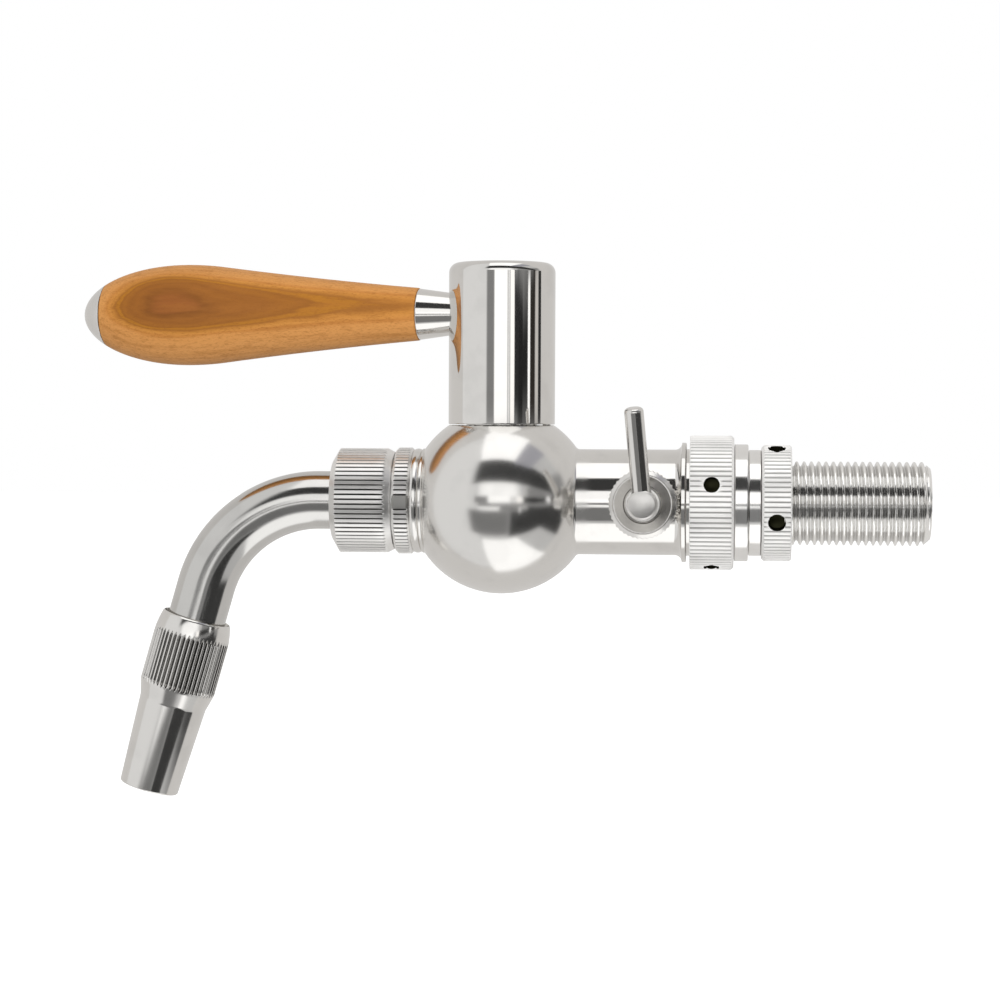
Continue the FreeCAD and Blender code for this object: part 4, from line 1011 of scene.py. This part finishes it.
nozzle = cut_piece("waisted_nozzle", NOZZLE, nozzle_outline, toothed(groove_count, GROOVE_PHASES), grooving,
                   buffed_nozzle, {
    "Grooves": groove_count, "Keel radius": waist_r - groove_depth, "Lead": groove_start - groove_run,
    "Full depth": groove_start + groove_run, "Finish station": groove_finish, "Rise": 2 * groove_depth,
    "Flank": 2 * groove_depth / groove_w})
present(nozzle, "nozzle", "nozzle")

# %% [markdown]
# ## Flow lever
# The small lever on the near side turns a spindle that slides the flow cone. From the body outwards come a knurled
# cap nut with a dished face, the nose of the spindle's bush, the lever's head and its rod. The rod leans out and to
# one side, so it gets a spindle of its own, and a Boolean along the same line drills its seat in the head.

# %% Cap nut and bush
cap_nut_r = 8.55
cap_rim_r = 7.3
cap_rim_w = 0.35
cap_edge = 1.0
cap_teeth = 44
cap_room_r = 7.05
cap_lip_r = 4.8
cap_lip_back = 16.35
cap_lip_front = 17.2
cap_knurl_depth = 0.35
cap_back, cap_front, _ = LEVER.measure("flow_cap_nut")
cap_outline = knurled_side(cap_back, cap_front, cap_nut_r, (cap_rim_w, cap_rim_w), (cap_edge, cap_nut_r - cap_rim_r),
                           (6, 4, 14))[:-1]
cap_outline += rounded([(cap_front, cap_rim_r), (cap_front, cap_rim_r - cap_rim_w)] + stepped(
    cap_lip_front, (cap_lip_r, cap_lip_back), (cap_room_r, cap_back)))
cap_nut = knurled("knurled_cap_nut", LEVER, cap_outline, turned_lever, cap_teeth, SHARP_PHASES, cap_nut_r,
                  cap_knurl_depth)
present(cap_nut, "tap_body", "flow_cap_nut")

bush_r = 4.5
bush_bore_r = 2.45
bush_flange_r = 5.9
bush_flange_top = 16.3
bush_nose_r = 4.7
bush_bevel = 0.55
bush_groove = (12.91, 13.89)
bush_groove_floor = 3.57
bush_foot, bush_top, _ = LEVER.measure("flow_spindle_bush")
bush = lathe("bush_nose", LEVER, rounded([(bush_foot, bush_bore_r)] + stepped(
    bush_foot, (bush_r, bush_groove[0]), (bush_groove_floor, bush_groove[1]), (bush_r, lever_boss_face),
    (bush_flange_r, bush_flange_top), (bush_nose_r, bush_top - bush_bevel)) + [
    (bush_top, bush_nose_r - bush_bevel), (bush_top, bush_bore_r)]), turned_lever)
present(bush, "tap_body", "flow_spindle_bush")

# %% Lever head and rod
head_r = 3.6
head_foot = 17.9
head_len = 6.4
head_edge = 0.4
head_dome = 0.35
spindle_tip_r = 1.82
spindle_tip_top = 22.12
rod_r = 2.35
rod_hole_r = 2.37
rod_edge = 1.05
rod_len = 24.2
rod_foot = 1.95
rod_seat = 3.2
rod_tilt = math.radians(5.0)
rod_lean = math.radians(12.0)

head_top = head_foot + head_len
dome_top = head_top + head_dome
rim_r = head_r - head_edge
head = lathe("lever_boss_head", LEVER, rounded(
    [(head_foot, spindle_tip_r)] + stepped(head_foot, (head_r, head_top - head_edge))
    + bezier((head_top, rim_r), (dome_top, rim_r / 2), (dome_top, 0), steps=6)
    + [(spindle_tip_top, 0), (spindle_tip_top, spindle_tip_r)]), turned_head)
rod_way = (LEVER.side * math.cos(rod_tilt) + LEVER.cross * math.sin(rod_tilt)) * math.cos(rod_lean)
rod_way += LEVER.way * math.sin(rod_lean)
ROD = Spindle(LEVER.point(head_foot + rod_seat), rod_way, LEVER.way)
carve(head, "DIFFERENCE", plug("rod_hole", ROD, rod_foot, (rod_hole_r, rod_len)))
rod = lathe("lever_arm", ROD, rounded(
    [(rod_foot, 0), (rod_foot, rod_r)] + arc((rod_len - rod_edge, rod_r - rod_edge), rod_edge, 90, 0)
    + [(rod_len, 0)]), buffed_lever, even(96))
present(head, "flow_lever", "flow_lever_head")
present(rod, "flow_lever", "flow_lever_rod")

# %% [markdown]
# ## Rear nuts
# The coupling nut draws the body onto the shank, and the lock nut clamps the wall between itself and the collar.
# Both have four holes for a hook spanner. The knurling rule makes their teeth, and then the holes are drilled, as in
# the workshop. The bits carry a near-black olive colour that paints the shade inside the holes, and the Boolean
# hands it on to the walls that they cut.

# %% Coupling nut and lock nut
rear_land = 0.42
rear_depth = 0.32
rear_counts = (12, 5, 12)
spanner_holes = 4
drill_half_tip = math.radians(59)


def spanner_bits(name, station, surface, radius, depth, first_turn):
    """Cutters for the spanner holes of a nut, aimed at the shank's line. They carry the painted shade of the holes'
    inside.
    """
    bits = []
    for index in range(spanner_holes):
        turn = math.radians(first_turn) + math.tau * index / spanner_holes
        mouth = SHANK.point(station, surface + past, turn)
        bit = Spindle(mouth, SHANK.point(station) - mouth, SHANK.way)
        tip = radius / math.tan(drill_half_tip)
        bits.append(lathe(name + str(index), bit, [
            (0, 0), (0, radius), (past + depth, radius), (past + depth + tip, 0)], hole_shade, even(48)))
    return bits


def rear_nut(node, radius, teeth, bevels, bores, hole_r, hole_depth, hole_turn):
    """Nut on the shank. Its bores go from the back to the front, each a radius and a length, or None for the rest."""
    front, back, _ = SHANK.measure(node)
    steps, end = [], back
    for bore_r, length in bores:
        end = end - length if length else front
        steps.append((bore_r, end))
    first, last = [(bevel, bevel) for bevel in bevels]
    outline = knurled_side(front, back, radius, first, last, rear_counts) + rounded(stepped(back, *steps))
    nut = knurled("knurled_" + node, SHANK, outline, turned_rear, teeth, REAR_PHASES, radius, rear_depth, rear_land)
    carve(nut, "DIFFERENCE", *spanner_bits(
        node + "_bit", (front + back) / 2, radius, hole_r, hole_depth, hole_turn))
    present(nut, node, node)


rear_nut("coupling_nut", radius=16.8, teeth=80, bevels=(0.25, 0.65), bores=((10.6, 1.7), (13.45, None)),
         hole_r=2.0, hole_depth=2.0, hole_turn=-17.0)
rear_nut("lock_nut", radius=14.5, teeth=72, bevels=(0.65, 0.4), bores=((10.5275, None),),
         hole_r=2.2, hole_depth=2.4, hole_turn=18.0)

# %% [markdown]
# ## Collar and washer
# Two plain rings stand between the nuts. The collar is fixed to the shank, and the washer rides with the lock nut.
# They differ in place, size and bore alone, so one loop turns both.

# %% Collar and washer
ring_edge = 0.35
for name, body, node, bore_r in (("plain_collar", "tap_body", "shank_collar", 10.4975),
                                 ("plain_washer", "wall_washer", "wall_washer", 10.5975)):
    front, back, radius = SHANK.measure(node)
    outline = [(front, bore_r), (front, radius, ring_edge), (back, radius, ring_edge), (back, bore_r)]
    present(lathe(name, SHANK, rounded(outline), turned_ring), body, node)

# %% [markdown]
# ## Threaded shank
# The shank carries a half-inch pipe thread: 14 turns to the inch, flanks at 55 degrees, and crests and roots rounded
# alike. A helix is a rule of the station and the angle together. A smooth step between crest and root has just the
# right flank angle at its steepest, so the form needs no separate arcs.

# %% Thread rule and shank
threading = CutterRule("threading", "Crest radius", "Depth", "Pitch", "First station")
helix = threading.along / threading.input("Pitch") - threading.turns
deep = (threading.off_whole(helix) * 2).fit(0.12, 0.92) * threading.input("Depth")
first = threading.input("First station")
threading.cut_to(threading.input("Crest radius") - deep * threading.along.fit(first, first + 1.0))

inch = 25.4
thread_r = 10.4775
thread_pitch = inch / 14
thread_depth = 0.640327 * thread_pitch
bevel_len = 1.8
bevel_r = 8.9
undercut_len = 1.2
undercut_r = 9.9
neck_r = 10.2
shank_flange_r = 12.9
shank_flange_len = 2.2
shank_bore_r = 5.0
tail_seat_r = 6.8
tail_seat_len = 1.8
rings_per_turn = 16
shank_front, shank_back, _ = SHANK.measure("shank")
collar_front, collar_back, _ = SHANK.measure("shank_collar")
bevel_start = shank_back - bevel_len
flange_end = shank_front + shank_flange_len


def threaded(start, end):
    """Dense run of points along the thread's crest."""
    return run((start, thread_r), (end, thread_r), round((end - start) / thread_pitch * rings_per_turn))


shank_outline = rounded(
    stepped(shank_back - tail_seat_len, (shank_bore_r, shank_front), (shank_flange_r, flange_end))
    + [(flange_end, neck_r), (collar_front, neck_r, 0)])
shank_outline += threaded(collar_front, -undercut_len)
shank_outline += [(-undercut_len, thread_r), (-undercut_len, undercut_r), (0, undercut_r)]
shank_outline += threaded(0, bevel_start) + run((bevel_start, thread_r), (shank_back, bevel_r), 16)
shank_outline += [(shank_back, bevel_r), (shank_back, tail_seat_r)]
shank = cut_piece("threaded_shank", SHANK, shank_outline, even(96), threading, rolled_thread, {
    "Crest radius": thread_r, "Depth": thread_depth, "Pitch": thread_pitch, "First station": collar_back})
present(shank, "tap_body", "shank")

# %% [markdown]
# ## Pieces that stay as the CAD made them
# Ball, seats, seals and the rest sit inside, where only a cut would show them. Their meshes stay, but each still
# gets a true finish: white seat plastic is slightly waxy, and rubber is near black with a dull bloom.

# %% Inner finishes


def moulded(name, base, worn, rough, speck):
    """Plastic or rubber with a faint mottle and a fine grain."""
    tree = Finish(name)
    place = tree.grow(tree.place(), 1 / MM)
    mottle = tree.noise(place, 0.3, 3.0)
    grain = tree.noise(place, 6.0, 2.0, 0.6)
    colour = tree.blend(base, worn, mottle.fit(0.35, 0.7))
    return tree.principled(colour, rough + (grain - 0.5) * 0.2, grain, 0.5, speck)


seat_plastic = moulded("seat_plastic", (0.82, 0.81, 0.78, 1), (0.74, 0.73, 0.70, 1), 0.4, 0.01)
seal_rubber = moulded("seal_rubber", (0.02, 0.02, 0.021, 1), (0.045, 0.045, 0.045, 1), 0.6, 0.02)
carried = {
    seat_plastic: ["front_ball_seat", "rear_ball_seat", "stem_thrust_washer", "stem_upper_washer"],
    seal_rubber: ["insert_o_ring", "spout_gasket", "flow_bush_o_ring", "shank_gasket", "stem_lower_o_ring",
                  "stem_upper_o_ring", "flow_spindle_o_ring", "nozzle_o_ring"],
    buffed_hub: ["ball", "stem"],
    turned_stem: ["stem_gland_nut", "stop_pin"],
    turned_cap: ["handle_stud"],
    turned_rear: ["flow_cone"],
    turned_lever: ["flow_spindle"],
    turned_nozzle: ["foam_disc", "foam_ring"],
}
for finish, names in carried.items():
    for name in names:
        mesh = frame["nodes"][name].data
        mesh.materials.clear()
        mesh.materials.append(finish)
print("carried-over nodes", sum(len(names) for names in carried.values()))

# %% [markdown]
# ## Floor and lamps
# The floor is a wide white sheet well below the faucet, which hangs from its wall. It keeps the faucet's shadow, and
# a little glow of its own, which only the camera sees, carries it to the white of the background. It isn't in the
# reflections, and from below it can be seen through.

# %% Floor
floor_drop = 0.17
floor_half = 6.0
floor_glow = 0.72
corners = [(x * floor_half, y * floor_half, -floor_drop) for x, y in ((-1, -1), (1, -1), (1, 1), (-1, 1))]
sheet = bpy.data.meshes.new("floor_sheet")
sheet.from_pydata(corners, [], [(0, 1, 2, 3)])
floor = put("floor_sheet", sheet)

tree = Finish("floor_white")
seen = tree.add("ShaderNodeLightPath", out="Is Camera Ray")
glow = tree.add("ShaderNodeEmission", {"Color": (1, 1, 1, 1), "Strength": seen * floor_glow})
cloth = tree.add("ShaderNodeBsdfDiffuse", {"Color": (0.93, 0.93, 0.93, 1)})
lit = tree.add("ShaderNodeAddShader", {0: cloth, 1: glow})
clear = tree.add("ShaderNodeBsdfTransparent")
below = tree.add("ShaderNodeNewGeometry", out="Backfacing")
sheet.materials.append(tree.done(tree.add("ShaderNodeMixShader", {0: below, 1: lit, 2: clear})))
floor.visible_glossy = False
floor.visible_diffuse = False

# %% Lamps


def stand(name, data, place, aim):
    """Put a lamp or a camera at a place, looking at its aim."""
    holder = put(name, data)
    holder.location = place
    holder.rotation_euler = (Vector(aim) - Vector(place)).to_track_quat("-Z", "Y").to_euler()
    return holder


# Soft square lamps light the object but aren't in its reflections.
target = (-0.09, 0, 0.02)
for name, place, size, watts in (("top_lamp", (-0.1, -0.25, 0.75), 0.6, 2.2),
                                 ("front_lamp", (0.1, -0.9, -0.12), 0.7, 3.2)):
    light = bpy.data.lights.new(name, "AREA")
    light.size = size
    light.energy = watts
    lamp = stand(name, light, place, target)
    lamp.visible_glossy = False
    lamp.visible_camera = False

# %% [markdown]
# ## The studio in the steel
# Polished steel has hardly any colour of its own. It looks like steel because it mirrors a studio: white boxes
# above and below, dark cards between them, and dim walls. The world draws these for glossy rays only. Each card is a
# window on one of four planes (the wall in front, the one beside it, the ceiling and the ground), so its edges are
# straight lines in space, as the edges of a real card are.

# %% World
world = bpy.data.worlds.new("studio")
bpy.context.scene.world = world
world.use_nodes = True
studio = Tree(world.node_tree)
ray = studio.add("ShaderNodeTexCoord", out="Generated")
parts = studio.add("ShaderNodeSeparateXYZ", {0: ray}).socket.node.outputs
ray_x, ray_y, ray_z = [Value(studio, part) for part in parts]
to_front = 0 - ray_y
to_ground = 0 - ray_z
wall = (ray_x / to_front, ray_z / to_front, to_front)
side_wall = (ray_y / ray_x, ray_z / ray_x, ray_x)
ceiling = (ray_x / ray_z, ray_y / ray_z, ray_z)
ground = (ray_x / to_ground, ray_y / to_ground, to_ground)


def grey(level, warm=0.0):
    """A grey, warmed or cooled a little."""
    return (level * (1 + warm), level, level * (1 - warm), 1)


def card(view, plane, across, up, colour, soft=0.015, side=None):
    """Lay a card on a plane of the studio over what is there; side is how soft its left and right edges are."""
    facing = studio.math("GREATER_THAN", plane[2], 0.001)
    mask = window(plane[0], *across, side or soft) * window(plane[1], *up, soft) * facing
    return studio.blend(view, colour, mask)


hub_band = (-0.005, 0.14)
side_band = (-0.005, 0.11)
cards = [
    # Left part of the wall, then the upper and lower dark bands
    (wall, (-60.0, -0.54), (-60.0, 60.0), grey(0.85), 0.04),
    (side_wall, (-1.3, 0.05), (-0.17, 0.5), grey(0.3), 0.1),
    (side_wall, (-1.3, 0.0), (-0.6, -0.12), grey(0.05), 0.05),
    (wall, (-0.65, 12.0), (0.47, 1.38), grey(0.045), 0.05, 0.15),
    (wall, (-0.75, 0.30), (-0.86, -0.17), grey(0.22), 0.06, 0.15),
    (wall, (0.29, 6.0), (-0.95, -0.17), grey(0.05), 0.04, 0.02),
    # White sheet straight ahead, with the grey edge of a table across it
    (wall, (-0.45, 0.5), (-0.17, 0.47), grey(1.25), 0.05, 0.15),
    (wall, (0.05, 0.6), (-0.19, -0.01), grey(0.25), 0.01, 0.04),
    (wall, (0.50, 0.56), (-0.24, -0.1), grey(1.2), 0.01),
    (wall, (-0.45, 0.9), (-0.085, -0.005), grey(0.3), 0.012),
    # Columns at the height of the hub, on the wall in front
    (wall, (-0.54, -0.20), hub_band, grey(0.26), 0.01, 0.06),
    (wall, (-0.20, 0.28), hub_band, grey(1.4), 0.01),
    (wall, (0.29, 0.35), hub_band, grey(0.75), 0.01),
    (wall, (0.375, 0.415), hub_band, grey(0.6), 0.01),
    (wall, (0.43, 0.61), hub_band, grey(1.35, 0.02), 0.01),
    (wall, (0.62, 1.2), hub_band, grey(0.03), 0.03),
    # Columns on the wall to the right
    (side_wall, (-1.15, -0.53), side_band, grey(0.02), 0.05),
    (side_wall, (-0.515, -0.405), side_band, grey(1.35), 0.01),
    (side_wall, (-0.395, -0.165), side_band, grey(0.03, 0.12), 0.02),
    (side_wall, (-0.155, -0.01), side_band, grey(0.65, 0.04), 0.03),
    (side_wall, (0.0, 0.14), side_band, grey(0.03), 0.01),
    # Overhead box with a grey wing, and the box underneath; their sides lean outwards or inwards with the depth
    (ceiling, (0.4, 0.93), (-0.8, 0.0), (0.4, 0.4, 0.44, 1), 0.02),
    (ceiling, (ceiling[1] * 0.24 - 0.258, ceiling[1] * 0.085 + 0.45), (-0.70, 0.10), grey(1.4), 0.012),
    (ground, (ground[1] * 0.35 - 0.12, ground[1] * 0.30 + 0.81), (-0.95, 0.10), grey(1.35), 0.08, 0.02),
]
view = studio.blend(grey(0.62), grey(0.70, 0.02), ray_y.fit(-0.05, 0.02))
for values in cards:
    view = card(view, *values)

# What falls on wood and seals comes mostly from the front, and the camera sees plain white.
path = studio.add("ShaderNodeLightPath").socket.node.outputs
ahead = studio.math("MAXIMUM", to_front, 0.0)
sky = studio.blend(grey(0.35), grey(1.65), ahead * ahead)
sky = studio.blend(sky, view, Value(studio, path["Is Glossy Ray"]))
sky = studio.blend(sky, (1, 1, 1, 1), Value(studio, path["Is Camera Ray"]))
studio.add("ShaderNodeOutputWorld", {"Surface": studio.add("ShaderNodeBackground", {"Color": sky, "Strength": 1.0})})
print("cards in the studio", len(cards))

# %% [markdown]
# ## Camera
# The photograph was taken from a little above and a little to the right of the faucet's middle, from so far that
# parallel edges hardly converge. The lens is worked out from the width that a square picture must hold.

# %% Camera
camera_place = Vector((-0.0163, -0.650, 0.020))
camera_aim = Vector((-0.07305, 0.0, 0.0003))
field_w = 0.2525
camera_roll = math.radians(0.25)
sensor_w = 36.0

camera = bpy.data.cameras.new("camera")
camera.sensor_width = sensor_w
camera.lens = sensor_w * (camera_aim - camera_place).length / field_w
camera.clip_start = 0.01
holder = stand("camera", camera, camera_place, camera_aim)
holder.rotation_euler.rotate_axis("Z", camera_roll)
bpy.context.scene.camera = holder
bpy.context.scene.view_settings.view_transform = "Standard"
print("lens", round(camera.lens, 1), "mm")
